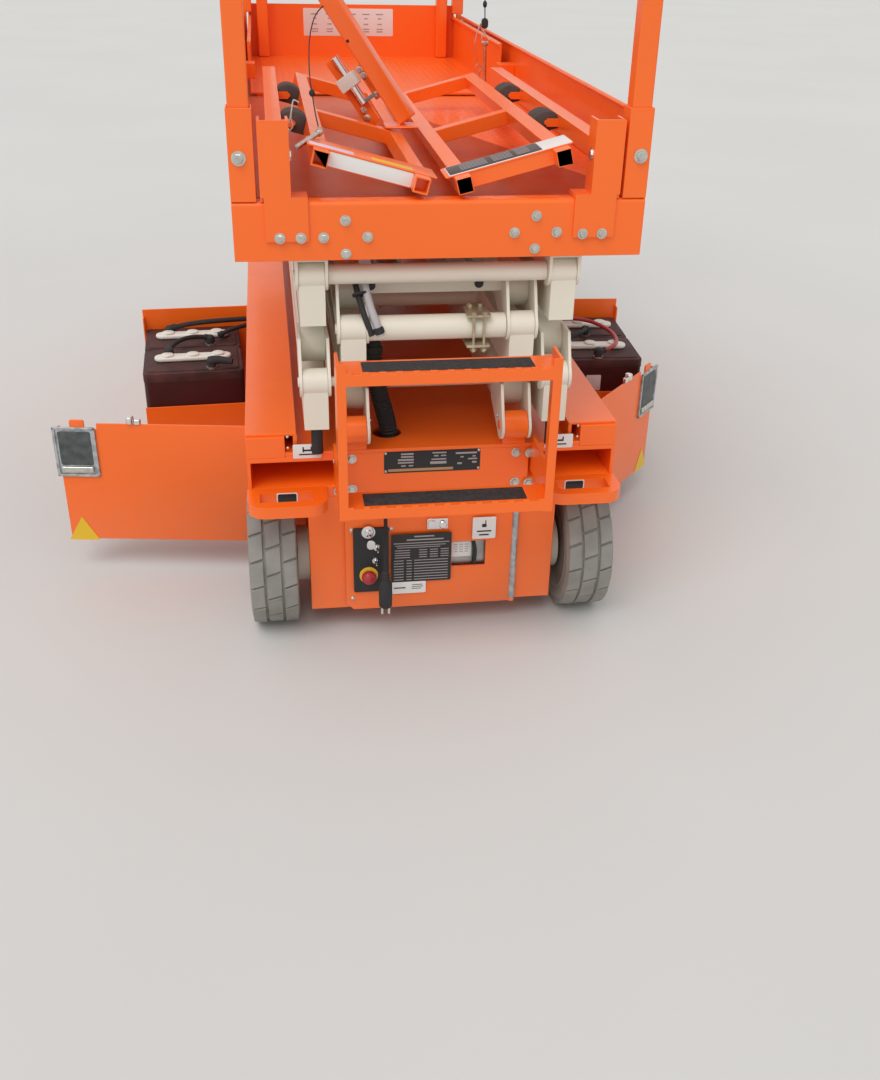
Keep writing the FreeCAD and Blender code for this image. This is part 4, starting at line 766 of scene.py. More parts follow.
class LIFT_OT_batteries(bpy.types.Operator):
    """Ribbed maroon cases with dark lids, white vent bars, terminals and boots on both trays"""

    bl_idname = "lift.batteries"
    bl_label = "Batteries"

    POST = [(-0.003, 0.013), (0.002, 0.013), (0.003, 0.009), (0.016, 0.008), (0.017, 0.001)]
    BOOT = [(0.004, 0.011), (0.006, 0.0135), (0.02, 0.0125), (0.024, 0.009), (0.025, 0.001)]

    def execute(self, context):
        pitch = 182 * MM
        base = 102 * MM
        post_places = {"left": mm((64, 66, 0), (158, 175, 0)), "right": mm((165, 120, 0), (64, 190, 0))}
        first = mm(12, -287, 0)
        size = mm(178, 256, 287)
        for side in ("left", "right"):
            body = "tray_" + side
            cases, lids, vents, posts, boots = [], [], [], [], []
            for number in range(2):
                low = first + [number * pitch, 0, base]
                high = low + size
                cases.append(slab(low, high - mm(0, 0, 26), "z", 0.012, 0.003))
                ribs = np.linspace(low[1] + 0.03, high[1] - 0.03, 7)
                rib = slab((0, -0.004, 0), (0.003, 0.004, 0.16), "x", 0.0025, 0.001, 3)
                cases.append(repeated(rib, [(high[0] - 0.0016, y, base + 0.03) for y in ribs]))
                cases.append(repeated(rib, [(low[0] - 0.0014, y, base + 0.03) for y in ribs]))
                lids.append(slab(low + mm(-1, -1, 257), high - mm(-1, -1, 4), "z", 0.012, 0.003))
                lids.append(slab(low + mm(10, 10, 280), high - mm(10, 10, 1), "z", 0.01, 0.002))
                middle = (low + high) / 2
                top = high[2]
                bar = slab((-0.019, -0.1, 0), (0.019, 0.1, 0.011), "z", 0.0185, 0.004, 8)
                vents.append(repeated(bar, [(middle[0], middle[1], top)]))
                cap = lathe([(0.009, 0.016), (0.015, 0.016), (0.016, 0.014), (0.016, 0.001)], 24)
                vents.append(repeated(cap, [(middle[0], middle[1] + shift, top) for shift in mm(-66, 0, 66)]))
                spots = post_places[side] + [low[0], low[1], top]
                posts.append(repeated(lathe(self.POST, 20), spots))
                boots.append(repeated(lathe(self.BOOT, 18), spots))
            for label, forms, material, slot in (
                    ("battery_cases_", cases, *own("maroon_plastic")),
                    ("battery_lids_", lids, extra_finish("battery_lid"), "maroon_plastic"),
                    ("battery_vents_", vents, *own("white_plastic")),
                    ("battery_posts_", posts, extra_finish("lead_terminal"), "steel"),
                    ("battery_boots_", boots, *own("black_rubber"))):
                form = swung(joined(*forms), BAY_HINGE, BAY_ANGLE, side)
                made = piece(label + side, form, body, material, slot)
                if label == "battery_cases_":
                    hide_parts("batteries_" + side)
        self.tags()
        return {"FINISHED"}

    def tags(self):
        """Blank tag on a left lid, blank label on the outer right case, boot over the last left post."""
        tag = turned(plate(*mm(34, 16)), LEVEL, mm(262, -165, 389))
        piece("battery_tag_left", swung(tag, BAY_HINGE, BAY_ANGLE, "left"), "tray_left",
              extra_finish("sign_tan"), "white_plastic")
        label = turned(plate(*mm(41, 45)), facing(ALONG, UP), mm(372.5, -156, 318))
        piece("battery_label_right", swung(label, BAY_HINGE, BAY_ANGLE, "right"), "tray_right",
              extra_finish("sign_white"), "white_plastic")
        middle = smooth_path(mm((352, -116, 404), (354, -104, 409), (360, -82, 410), (368, -58, 407)), 4)
        cover = pipe(middle, np.linspace(0.0135, 0.008, len(middle)), 16, (1, 0, 0))
        piece("battery_boot_left", swung(cover, BAY_HINGE, BAY_ANGLE, "left"), "tray_left",
              *own("black_rubber"))


class LIFT_OT_rear_door(bpy.types.Operator):
    """Control panel, key switch, toggles, stop button, charger face, hinge rod, lock and blank signs"""

    bl_idname = "lift.rear_door"
    bl_label = "Rear door"

    def execute(self, context):
        low, high = low_high("control_panel")
        face = low[1]
        board = slab(low, high, "y", 0.004, 0.001)
        made = piece("panel_board", board, "rear_door", *own("black_plastic"))
        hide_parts("control_panel")
        corners = mm((-181, -1095, 265), (-95, -1095, 265), (-181, -1095, 91), (-95, -1095, 91))
        screws = repeated(turned(rivet(0.0055, 0.003), REARWARD), corners)
        piece("panel_screws", screws, "rear_door", extra_finish("zinc_bolts"), "steel")
        profile = [(0, 0.015), (0.003, 0.015), (0.004, 0.013), (0.004, 0.008), (0.009, 0.007), (0.010, 0.001)]
        parts = [turned(lathe(profile, 28), REARWARD, (-0.145, face, 0.263)),
                 turned(slab(mm(-1.5, -3, 8), mm(1.5, 3, 24), "z", 0.001, 0.0004), REARWARD,
                        (-0.145, face, 0.263)),
                 turned(slab(mm(-9, -26, 22), mm(9, -4, 24), "z", 0.008, 0.0004), REARWARD,
                        (-0.141, face, 0.258))]
        profile = [(0, 0.008), (0.003, 0.008), (0.003, 0.004), (0.006, 0.003), (0.022, 0.0022),
                   (0.024, 0.001)]
        parts += [turned(lathe(profile, 14), REARWARD, (x, face, z)) for x, z in mm((-126, 224), (-129, 191))]
        piece("panel_switches", joined(*parts), "rear_door", *own("chrome_steel"))
        stop = (low_high("stop_button")[0] + low_high("stop_button")[1]) / 2
        stop[1] = face
        ring = lathe([(0, 0.014), (0, 0.0205), (0.002, 0.0205), (0.003, 0.019), (0.003, 0.010)], 36)
        piece("stop_ring", turned(ring, REARWARD, stop), "rear_door", extra_finish("sign_yellow"),
              "white_plastic")
        turn = np.linspace(0, math.pi / 2, 7)
        head = np.stack([0.012 + 0.014 * np.sin(turn), 0.0165 * np.cos(turn) + 1e-5], -1)
        button = lathe(np.concatenate([[(0.0, 0.009), (0.009, 0.009), (0.010, 0.0165)], head]), 32)
        made = piece("stop_head", turned(button, REARWARD, stop), "rear_door", *own("red_plastic"))
        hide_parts("stop_button")
        front = low_high("rear_door")[0][1]
        self.signs(front)
        count = 41
        rod = np.linspace((0.182, -1.0925, 0.070), (0.182, -1.0925, 0.294), count)
        grooves = np.where(np.arange(count) % 2 == 0, 0.0074, 0.0079)
        piece("door_hinge_rod", pipe(rod, grooves, 14, (1, 0, 0)), "rear_door", extra_finish("galvanised"),
              "steel")
        barrel = lathe([(0, 0.009), (0.006, 0.009), (0.008, 0.007), (0.008, 0.001)], 24)
        lock = joined(slab(mm(-16, -1102, 262), mm(30, -1094, 288), "y", 0.003, 0.001),
                      turned(barrel, REARWARD, mm(18, -1102, 275)),
                      slab(mm(-14, -1106, 266), mm(2, -1101, 284), "y", 0.002, 0.001))
        piece("door_lock", lock, "rear_door", *own("chrome_steel"))
        return {"FINISHED"}

    def signs(self, front):
        """Signs with plain bars where the door carries its plates, and the charger behind its window."""
        places = (("door_sign_large", (-28, 192), (134, 122), "sign_black"),
                  ("door_sign_low", (-56, 116), (78, 30), "sign_white"),
                  ("door_sign_right", (111, 259), (52, 54), "sign_white"))
        for name, (x, z), size, look in places:
            sign(name, "rear_door", look, (x, front / MM, z), size)
        rows = [(6, 54, 44, 3), (8, 46, 82, 3), (0, 38, 124, 2), (-2, 32, 112, 1.6), (-6, 27, 96, 1.6)]
        rows += [(x, y, wide, 1.8) for y in (20, 14, 8, 2)
                 for x, wide in ((-42, 34), (4, 18), (28, 18), (52, 18))]
        rows += [(x, y, wide, 1.8) for y in range(-6, -56, -7)
                 for x, wide in ((-50, 22), (-27, 12), (22, 76))]
        printed("door_sign_bars", "rear_door", "sign_grey", (-28, front / MM, 192), rows)
        face = low_high("charger")[0][1] / MM
        sign("charger_label", "chassis", "sign_white", (64, face, 198), (46, 38))
        printed("charger_label_bars", "chassis", "sign_grey", (64, face, 198),
                [(x, y, 8, 2) for x in (-12, 0, 12) for y in (12, 6, 0, -6)])
        strap = wire(((84, face - 3, 236), (92, face - 7, 216), (95, face - 8, 192), (94, face - 6, 168),
                      (92, face - 2, 150)), 0.0045)
        piece("charger_strap", strap, "chassis", *own("black_rubber"))
        printed("door_sign_low_bars", "rear_door", "sign_black", (-56, front / MM, 116),
                [(-20, 0, 26, 3), (20, 7, 24, 1.5), (20, 2, 26, 1.5), (18, -3, 22, 1.5)])
        printed("door_sign_right_bars", "rear_door", "sign_black", (111, front / MM, 259),
                [(0, 6, 10, 8), (3, 14, 2, 10), (0, -8, 32, 3.5), (0, -17, 22, 3.5)])


class LIFT_OT_hardware(bpy.types.Operator):
    """Bolt heads on the platform's rear beam, gate stubs, corner sleeves and ladder feet"""

    bl_idname = "lift.hardware"
    bl_label = "Bolts"

    def execute(self, context):
        face = low_high("platform_deck")[0][1]
        head = turned(bolt(0.013, 0.007), REARWARD)
        spots = []
        for middle in mm((-183, 0, 909), (179, 0, 913)):
            spots += [middle + mm(dx, 0, dz) for dx, dz in ((-41, 0), (41, 0), (0, 31), (0, -31))]
        spots = np.array(spots)
        spots[:, 1] = face
        piece("beam_bolts", repeated(head, spots), "platform", extra_finish("zinc_bolts"), "steel")
        stub = low_high("gate_stubs")[0][1]
        spots = [(x * MM, stub, 0.910) for x in (-305, -266, 270, 308)]
        piece("stub_bolts", repeated(head, spots), "platform", extra_finish("zinc_bolts"), "steel")
        large = turned(bolt(0.017, 0.009), REARWARD)
        spots = [(side * 0.3715, low_high("corner_sleeves")[0][1], 1.052) for side in (-1, 1)]
        piece("sleeve_bolts", repeated(large, spots), "platform", extra_finish("zinc_bolts"), "steel")
        caps = [turned(bolt(0.016, 0.004), along((-side, 0, 0)), (side * 0.281, -1.112, 1.053))
                for side in (-1, 1)]
        piece("stub_pin_heads", joined(*caps), "platform", extra_finish("zinc_bolts"), "steel")
        feet = [(side * x, y, z) for side in (-1, 1) for x, y in ((206, -1091), (177, -1085))
                for z in (432, 361)]
        piece("ladder_bolts", repeated(turned(bolt(0.014, 0.008), REARWARD), mm(*feet)), "chassis",
              extra_finish("zinc_bolts"), "steel")
        return {"FINISHED"}


class LIFT_OT_ladder(bpy.types.Operator):
    """Black grip strips on both steps"""

    bl_idname = "lift.ladder"
    bl_label = "Ladder"

    def execute(self, context):
        low = low_high("ladder")[0]
        near, far = low[1] + 0.014, low[1] + 0.066
        half = 0.165
        strips = [slab((-half, near, top - 0.0002), (half, far, top + 0.0012), "z", 0.002, 0.0004)
                  for top in mm(410, 691)]
        piece("grip_strips", joined(*strips), "chassis", extra_finish("grip_strip"), "black_rubber")
        return {"FINISHED"}


class LIFT_OT_rear_signs(bpy.types.Operator):
    """Blank name plate, labels and rivets on the chassis's rear, and a label on the roll-out deck"""

    bl_idname = "lift.rear_signs"
    bl_label = "Rear signs"

    PLATE_BARS = [(-54, 18.5, 27, 3.6), (-54, 12, 27, 3.6), (-57, 5, 34, 4), (-57, -1.5, 34, 3.4),
                  (-62, -9, 10, 3), (-46, -9, 10, 3), (15, 19, 30, 3), (8, 12, 10, 3), (24, 12, 11, 3),
                  (14, 4, 32, 3), (13, -4, 35, 6), (73, 16, 46, 4), (64, 7, 7, 3), (90, 8, 7, 3),
                  (87, 2, 20, 3), (59, -8, 10, 4), (91, -6, 10, 4)]

    def execute(self, context):
        middle = (-5, -1085, 419.5)
        sign("name_plate", "chassis", "sign_black", middle, (207, 50))
        printed("name_plate_bars", "chassis", "sign_grey", middle, self.PLATE_BARS)
        printed("name_plate_strip", "chassis", "sign_tan", middle, [(-25, -18.5, 140, 6)])
        pins = [(x, -1085.4, z) for x in (-105, 95) for z in (399, 441)]
        pins += [(side * x, -1085, z) for side in (-1, 1) for x, z in ((309, 488), (309, 463), (269, 602))]
        piece("rear_rivets", repeated(turned(rivet(0.0032, 0.0022), REARWARD), mm(*pins)), "chassis",
              extra_finish("zinc_bolts"), "steel")
        for side, x, wide in (("left", -269.5, 59), ("right", 269, 62)):
            sign("fork_label_" + side, "chassis", "sign_white", (x, -1085, 454), (wide, 32))
            printed("fork_label_mark_" + side, "chassis", "sign_black", (x, -1085, 454),
                    [(0, -7, 34, 3), (-8, 4, 3, 12), (0, 2, 18, 4), (9, 5, 3, 10)])
        for side, x in (("left", -315.5), ("right", 305.5)):
            sign("loop_label_" + side, "chassis", "sign_white", (x, -1107, 357.5), (44, 24))
            sign("loop_label_field_" + side, "chassis", "sign_black", (x, -1107, 357.5), (39, 20), thick=1.1)
        wall = 4
        front = low_high("extension_deck")[1][1] / MM - wall
        sign("deck_label", "extension", "sign_white", (-14, front, 1093), (314, 88))
        rows = [(x, y, wide, 4) for x in (-118, -66, 14, 62, 110)
                for y, wide in ((26, 26), (12, 12), (-6, 16), (-22, 22), (-30, 22))]
        printed("deck_label_marks", "extension", "sign_grey", (-14, front, 1093), rows)
        return {"FINISHED"}


class LIFT_OT_side_doors(bpy.types.Operator):
    """Sunk galvanised latch, striker on the top edge and a plain yellow triangle on each side door"""

    bl_idname = "lift.side_doors"
    bl_label = "Side doors"

    def execute(self, context):
        outward = facing(-ALONG, UP)
        skin = -0.0025
        for side in ("left", "right"):
            body = "side_door_" + side
            place = mm(0, 404, 318) + [skin, 0, 0]
            latch = [turned(slab(mm(-50, -63, -0.5), mm(50, 63, 2), "z", 0.006, 0.0008), outward, place)]
            for low, high in (((-50, -63), (-43, 63)), ((43, -63), (50, 63)), ((-50, 56), (50, 63)),
                              ((-50, -63), (50, -57))):
                latch.append(turned(slab(mm(*low, 1), mm(*high, 5), "z", 0.003, 0.0012), outward, place))
            pad = turned(slab(mm(-38, -34, 1), mm(38, 52, 3.5), "z", 0.005, 0.001), outward, place)
            lip = turned(slab(mm(-38, -52, 1), mm(38, -36, 9), "z", 0.004, 0.003), outward, place)
            striker = joined(slab(mm(-6, 246, 390), mm(6, 262, 402), "z", 0.004, 0.002),
                             slab(mm(-10, 262, 391), mm(10, 280, 409), "z", 0.008, 0.004))
            tab = slab(mm(-2.5, 378, 366), mm(2.5, 412, 398), "x", 0.005, 0.001)
            triangle = lathe([(0, 0.0425), (0.0006, 0.0425)], 3, math.pi / 2)
            for label, form, material, slot in (
                    ("latch_frame_", joined(*latch), extra_finish("galvanised"), "steel"),
                    ("latch_pad_", pad, extra_finish("latch_pad"), "steel"),
                    ("latch_lip_", lip, extra_finish("zinc_bolts"), "steel"),
                    ("door_striker_", striker, *own("chrome_steel")),
                    ("door_tab_", tab, *own("orange_paint")),
                    ("door_triangle_", turned(triangle, outward, mm(0, 414, 103) + [skin, 0, 0]),
                     extra_finish("sign_yellow"), "white_plastic")):
                piece(label + side, swung(form, DOOR_HINGE, DOOR_ANGLES[side], side), body, material, slot)
        return {"FINISHED"}


LEAF_ORIGIN = mm(-265, 0, 1060)
LEAF_SAG = math.radians(14.73)
BAR_FOOT = mm(-8, -620, 1037.4)
BAR_LEAN = math.radians(36)
BAR_YAW = math.radians(20)


def on_leaf(form, side):
    """A form drawn flat with the leaf's hinge at the origin, sagged about y."""
    cos, sin = math.cos(LEAF_SAG), math.sin(LEAF_SAG)
    return mirrored(turned(form, [[cos, 0, -sin], [0, 1, 0], [sin, 0, cos]], LEAF_ORIGIN), side)


def on_bar(form):
    """A form drawn on an upright bar, carried to the gate's leaning bar: lean about y, then yaw about z."""
    lean, yaw = math.cos(BAR_LEAN), math.sin(BAR_LEAN)
    cos, sin = math.cos(BAR_YAW), math.sin(BAR_YAW)
    axes = [[lean * cos, -lean * sin, yaw], [sin, cos, 0], [-yaw * cos, yaw * sin, lean]]
    return turned(form, axes, BAR_FOOT)


class LIFT_OT_gates(bpy.types.Operator):
    """End plates and strips on the gate leaves, hinge covers, and the spring plunger beside the bar"""

    bl_idname = "lift.gates"
    bl_label = "Gates"

    def execute(self, context):
        for side in ("left", "right"):
            end = slab(mm(14, -1102, 14), mm(262, -1022, 16.5), "z", 0.003, 0.0008)
            piece("leaf_end_" + side, on_leaf(end, side), "leaf_" + side, *own("orange_paint"))
            self.covers(side)
        strips = (("leaf_strip_pale", "left", "sign_lilac", (60, -1083, 16.5), (84, 26), LEVEL),
                  ("leaf_strip_yellow", "left", "sign_yellow", (176, -1081, 16.5), (80, 26), LEVEL),
                  ("leaf_strip_white", "left", "sign_white", (136, -1100, 0), (162, 26), REARWARD),
                  ("leaf_label_edge", "right", "sign_white", (134, -1063, 16.5), (240, 74), LEVEL),
                  ("leaf_label_field", "right", "sign_black", (162, -1063, 17.2), (180, 66), LEVEL))
        for name, side, look, where, size, axes in strips:
            form = turned(plate(*mm(*size), 0.0008), axes, mm(*where))
            piece(name, on_leaf(form, side), "leaf_" + side, extra_finish(look), "white_plastic")
        rows = [(x, y, wide, 3) for y in (22, 12, 2, -8, -18) for x, wide in ((-56, 26), (-16, 38), (40, 52))]
        marks = on_leaf(turned(bars(rows, 0), LEVEL, mm(162, -1063, 18.1)), "right")
        piece("leaf_label_bars", marks, "leaf_right", extra_finish("sign_grey"), "white_plastic")
        self.plunger()
        return {"FINISHED"}

    def covers(self, side):
        """Arched rubber covers: the outline is a flat half ellipse over straight sides, drawn out along y."""
        turn = np.linspace(0.35, math.pi - 0.35, 13)
        crown = np.stack([0.029 * np.cos(turn), 0.001 + 0.021 * np.sin(turn)], -1)
        arch = np.concatenate([[(0.0275, -0.018)], crown, [(-0.0275, -0.018)]])
        ring = arch[None] * np.array([0.94, 1, 1, 0.94])[:, None, None]
        steps = np.array([0, 0.0015, 0.0625, 0.064])[:, None, None]
        low, high = low_high("hinge_covers_" + side)
        forms = []
        for start in (high[1] - 0.063, low[1] - 0.001):
            y = np.broadcast_to(start + steps, ring.shape[:2] + (1,))
            forms.append(loft(np.concatenate([ring[..., :1] + 0.002, y, ring[..., 1:]], -1)))
        made = piece("arched_covers_" + side, on_leaf(joined(*forms), side), "leaf_" + side,
                     extra_finish("dusty_rubber"), "black_rubber", 50)
        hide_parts("hinge_covers_" + side)

    def plunger(self):
        """Orange mounting strip, chromed tube in a white block, side plate and small bolts."""
        strip = joined(slab(mm(-86, -3, 35), mm(-52, 3, 196), "y", 0.002, 0.0008),
                       slab(mm(-34, -6, 72), mm(-19, -3, 152), "y", 0.002, 0.0008),
                       slab(mm(-30, -6, 96), mm(-26, 6, 150), "x", 0.002, 0.0008))
        profile = [(0.080, 0.007), (0.081, 0.009), (0.193, 0.009), (0.194, 0.007)]
        tube = turned(lathe(profile, 24), LEVEL, mm(-61, -12, 0))
        block = slab(mm(-84, -26, 122), mm(-41, 2, 151), "y", 0.002, 0.001)
        arm = slab(mm(-56, -16, 80), mm(-30, -4, 88), "z", 0.002, 0.0008)
        heads = turned(bolt(0.010, 0.006), REARWARD)
        spots = mm((-72, -3, 70), (-74, -3, 53), (-29, -6, 143), (-28, -6, 128), (-26, -6, 80))
        bolts = repeated(heads, spots)
        # painted shade: a flat dark disc on the bar stands in for the shade inside its open hole
        hole = turned(lathe([(-0.0002, 0.0035), (0.0004, 0.0035)], 14), REARWARD, mm(-12, -19, 203))
        for name, form, material, slot in (
                ("plunger_strip", strip, *own("orange_paint")),
                ("plunger_tube", tube, *own("chrome_steel")),
                ("plunger_block", block, *own("white_plastic")),
                ("plunger_arm", arm, *own("grey_plastic")),
                ("plunger_bolts", bolts, extra_finish("zinc_bolts"), "steel"),
                ("bar_hole", hole, extra_finish("tube_inside"), "black_rubber")):
            made = piece(name, on_bar(form), "leaf_left", material, slot)
            if name == "plunger_tube":
                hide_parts("bar_plunger")


class LIFT_OT_lanyards(bpy.types.Operator):
    """Two cable lanyards with their drop pins and spring clips"""

    bl_idname = "lift.lanyards"
    bl_label = "Lanyards"

    LEFT = mm((-185.7, -575.6, 1261), (-199, -592, 1252.5), (-210.5, -613, 1233.5), (-218.5, -645, 1210.5),
              (-223, -683, 1187), (-225.5, -728, 1166), (-226.8, -775, 1147), (-226.3, -823, 1130.5),
              (-225, -870, 1113.5), (-224, -914, 1099), (-222.6, -958, 1088), (-220.8, -999, 1079.5))
    RIGHT = mm((312, 219, 1444), (312.6, 218.4, 1418), (311.4, 219.5, 1380), (309.6, 218.6, 1335),
               (308.9, 219.6, 1288), (309.4, 218.8, 1245), (310.4, 219.4, 1208), (311.5, 219, 1178))

    def execute(self, context):
        steel = extra_finish("zinc_bolts")
        ferrule = [(-0.009, 0.002), (-0.006, 0.005), (0, 0.0062), (0.006, 0.005), (0.009, 0.002)]
        thin = [(0, 0.004), (0.001, 0.0075), (0.006, 0.0075), (0.007, 0.005), (0.100, 0.005), (0.107, 0.0035)]
        thick = [(0, 0.005), (0.001, 0.011), (0.007, 0.010), (0.010, 0.0055), (0.112, 0.0055),
                 (0.118, 0.0035)]
        left = cord_curve("lanyard_left", self.LEFT, 0.00125, "leaf_left", *own("black_rubber"))
        knot = piece("lanyard_bead_left", bead(left, 0.70, ferrule), "leaf_left", *own("black_rubber"))
        lying = turned(lathe(thin, 20), along(mm(-48, -95, -12)), mm(-220.5, -1008, 1076.4))
        piece("drop_pin_left", lying, "leaf_left", steel, "steel")
        eye = wire(((-224, 0, 1083), (-216, 0, 1086), (-213, 0, 1076), (-219, 0, 1070), (-226, 0, 1076),
                    (-223, 0, 1084)), 0.0011)
        eye = piece("pin_eye_left", turned(eye, LEVEL, mm(0, -1003, 0)), "leaf_left", steel, "steel")
        declared(left)
        clip = joined(wire(((-281, 0, 1072), (-276, 0, 1085), (-271, 0, 1091), (-277, 0, 1098),
                            (-270, 0, 1107), (-267, 0, 1118), (-263, 0, 1140), (-260, 0, 1144),
                            (-252, 0, 1138))),
                      wire(((-279, 0, 1072), (-274, 0, 1085), (-270, 0, 1090), (-263, 0, 1098),
                            (-269, 0, 1107), (-267, 0, 1116))))
        piece("spring_clip_left", turned(clip, LEVEL, mm(-7, -1075, 0)), "gate_left", steel, "steel")
        right = cord_curve("lanyard_right", self.RIGHT, 0.0015, "extension", *own("black_rubber"))
        snap = slab(mm(302, 213, 1152), mm(321, 225, 1180), "y", 0.009, 0.003)
        swivel = joined(bead(right, 0.90, ferrule), snap)
        knot = piece("lanyard_swivel_right", swivel, "extension", *own("black_rubber"))
        hanging = turned(lathe(thick, 20), along(mm(3, 0, -118)), mm(313.8, 219, 1116))
        place = mm(0, 219, 0)
        link = wire(((299, 0, 1166), (301, 0, 1152), (307, 0, 1144), (311, 0, 1150), (312, 0, 1158)))
        link = piece("swivel_link_right", turned(link, LEVEL, place), "extension", steel, "steel")
        links = joined(wire(((309, 0, 1146), (312, 0, 1140), (327, 0, 1119), (313, 0, 1117), (300, 0, 1119),
                             (308, 0, 1142)), 0.0018),
                       wire(((299, 0, 1166), (292, 0, 1149), (285, 0, 1120), (284, 0, 1103), (292, 0, 1070),
                             (297, 0, 1060), (285, 0, 1049), (299, 0, 1037), (302, 0, 1024), (304, 0, 1003)),
                            0.0014),
                       wire(((296, 0, 1062), (299, 0, 1059), (308, 0, 1049), (300, 0, 1038), (304, 0, 1022),
                             (307, 0, 1003)), 0.0014))
        piece("drop_pin_right", joined(hanging, turned(links, LEVEL, place)), "extension", steel, "steel")
        declared(right)
        return {"FINISHED"}


class LIFT_OT_stack(bpy.types.Operator):
    """Hoses, cable conduit, tube clamp, tie bolts and grease nipples on the scissor stack"""

    bl_idname = "lift.stack"
    bl_label = "Scissor stack"

    GREY = mm((-146, -1058, 812), (-141, -1078, 786), (-134, -1095, 758), (-124, -1106, 732),
              (-116, -1109, 708))
    DARK = mm((-163, -1056, 806), (-158, -1076, 782), (-151, -1094, 757), (-142, -1106, 732),
              (-134, -1108, 709))
    CONDUIT = mm((-88, -997, 440), (-91, -998, 466), (-97, -999, 494), (-105, -998, 523), (-112, -994, 553),
                 (-118, -988, 586), (-121, -981, 618), (-122, -974, 650))

    def execute(self, context):
        grey = cord_curve("hose_grey", self.GREY, 0.008, "inner_2", extra_finish("pale_hose"), "grey_plastic")
        ends = [(-0.006, 0.008), (-0.004, 0.0105), (0.006, 0.0105), (0.008, 0.008)]
        collar = piece("hose_collar_grey", bead(grey, 0.94, ends), "inner_2", *own("black_rubber"))
        declared(grey)
        dark = cord_curve("hose_dark", self.DARK, 0.006, "inner_2", *own("black_rubber"))
        declared(dark)
        band = turned(slab(mm(-20, -11, -2.5), mm(18, 11, 2.5), "z", 0.0105, 0.001), along(mm(6, -18, -26)),
                      mm(-150, -1077, 784))
        piece("hose_band", band, "inner_2", *own("black_rubber"))
        tube = cord_curve("cable_conduit", self.CONDUIT, 0.017, "chassis", *own("black_rubber"))
        line = drawn(tube)
        count = 61
        shares = np.linspace(0, 1, len(line))
        path = np.stack([np.interp(np.linspace(0, 1, count), shares, row) for row in line.T], -1)
        size = np.where(np.arange(count) % 2 == 0, 0.0170, 0.0198)
        ribs = piece("conduit_ribs", pipe(path, size, 20, (1, 0, 0)), "chassis", *own("black_rubber"), 50)
        ends = [(-0.008, 0.019), (-0.007, 0.0215), (0.007, 0.0215), (0.008, 0.019)]
        collar = piece("conduit_collar", bead(tube, 0.97, ends), "chassis", *own("black_rubber"))
        declared(tube)
        self.clamp()
        self.fasteners()
        return {"FINISHED"}

    def clamp(self):
        """Two plates on four threaded rods round the cross tube."""
        plates = joined(*(slab(mm(56, -1113, z), mm(104, -1047, z + 5), "z", 0.003, 0.001)
                          for z in (741, 679)))
        stud = lathe([(-0.014, 0.002), (-0.013, 0.003), (0.068, 0.003), (0.069, 0.002)], 12)
        nut = lathe([(0.001, 0.0065), (0.006, 0.0065), (0.0065, 0.0055)], 6)
        spots = [(x, y, 683) for x in (70, 91) for y in (-1109.5, -1050.5)]
        nuts = joined(repeated(nut, mm(*spots) + mm(0, 0, 62)), repeated(nut, mm(*spots) - mm(0, 0, 12)))
        form = joined(plates, repeated(stud, mm(*spots)), nuts)
        piece("tube_clamp", form, "inner_2", extra_finish("passivated"), "steel")

    def fasteners(self):
        """Bolts of the tie plate, and a grease nipple above each rear pin boss."""
        heads = repeated(turned(bolt(0.012, 0.008), REARWARD), mm((-128, -1028, 786), (92, -1028, 786)))
        piece("tie_plate_bolts", heads, "inner_3", extra_finish("sign_black"), "black_plastic")
        nipple = lathe([(0, 0.004), (0.004, 0.004), (0.005, 0.0025), (0.009, 0.003), (0.011, 0.0015)], 12)
        for body, z in (("inner_1", 507), ("inner_2", 727)):
            inward = [turned(nipple, along((-side, -0.3, 0.4)), mm(side * 143, -1062, z)) for side in (-1, 1)]
            piece("grease_nipples_" + body, joined(*inward), body, extra_finish("zinc_bolts"), "steel")


class LIFT_OT_battery_cables(bpy.types.Operator):
    """Cables between the battery posts and into the bays, on both trays"""

    bl_idname = "lift.battery_cables"
    bl_label = "Battery cables"

    CABLES = (
        ("battery_feed_left", "left", 7, "black_rubber",
         mm((76, -221, 406), (66, -180, 412), (57, -134, 414), (46, -86, 413), (36, -44, 411),
            (26, -8, 409))),
        ("battery_return_left", "left", 6, "black_rubber",
         mm((136, -84, 402), (121, -61, 408), (104, -36, 410), (84, -10, 409))),
        ("battery_link_left", "left", 6, "black_rubber",
         mm((258, -221, 406), (240, -214, 411), (218, -200, 415), (197, -178, 417), (181, -152, 415),
            (172, -128, 411), (170, -112, 406))),
        ("battery_red_right", "right", 5.5, "red_plastic",
         mm((76, -97, 406), (94, -108, 411), (107, -131, 414), (116, -160, 415), (132, -188, 414),
            (158, -210, 412), (193, -226, 411), (234, -235, 410), (276, -235, 409), (314, -225, 409),
            (342, -204, 408), (356, -182, 406), (359, -167, 404))),
        ("battery_link_right", "right", 6, "black_rubber",
         mm((258, -97, 406), (252, -118, 411), (238, -138, 415), (218, -154, 415), (196, -163, 411),
            (178, -167, 406))))

    def execute(self, context):
        for name, side, radius, slot, route in self.CABLES:
            spots = swung((route, None, None), BAY_HINGE, BAY_ANGLE, side)[0]
            made = cord_curve(name, spots, radius * MM, "tray_" + side, slot_finish(slot), slot)
            far_end = "object" if "feed" in name or "return" in name else "fitting"
            thin, thick = mm(radius, radius + 2.5)
            ends = [(-0.007, thin), (-0.006, thick), (0.006, thick), (0.007, thin)]
            collar = piece(name + "_lug", bead(made, 0.97 if far_end == "fitting" else 0.04, ends),
                           "tray_" + side, *own("black_rubber"))
            declared(made)
        return {"FINISHED"}


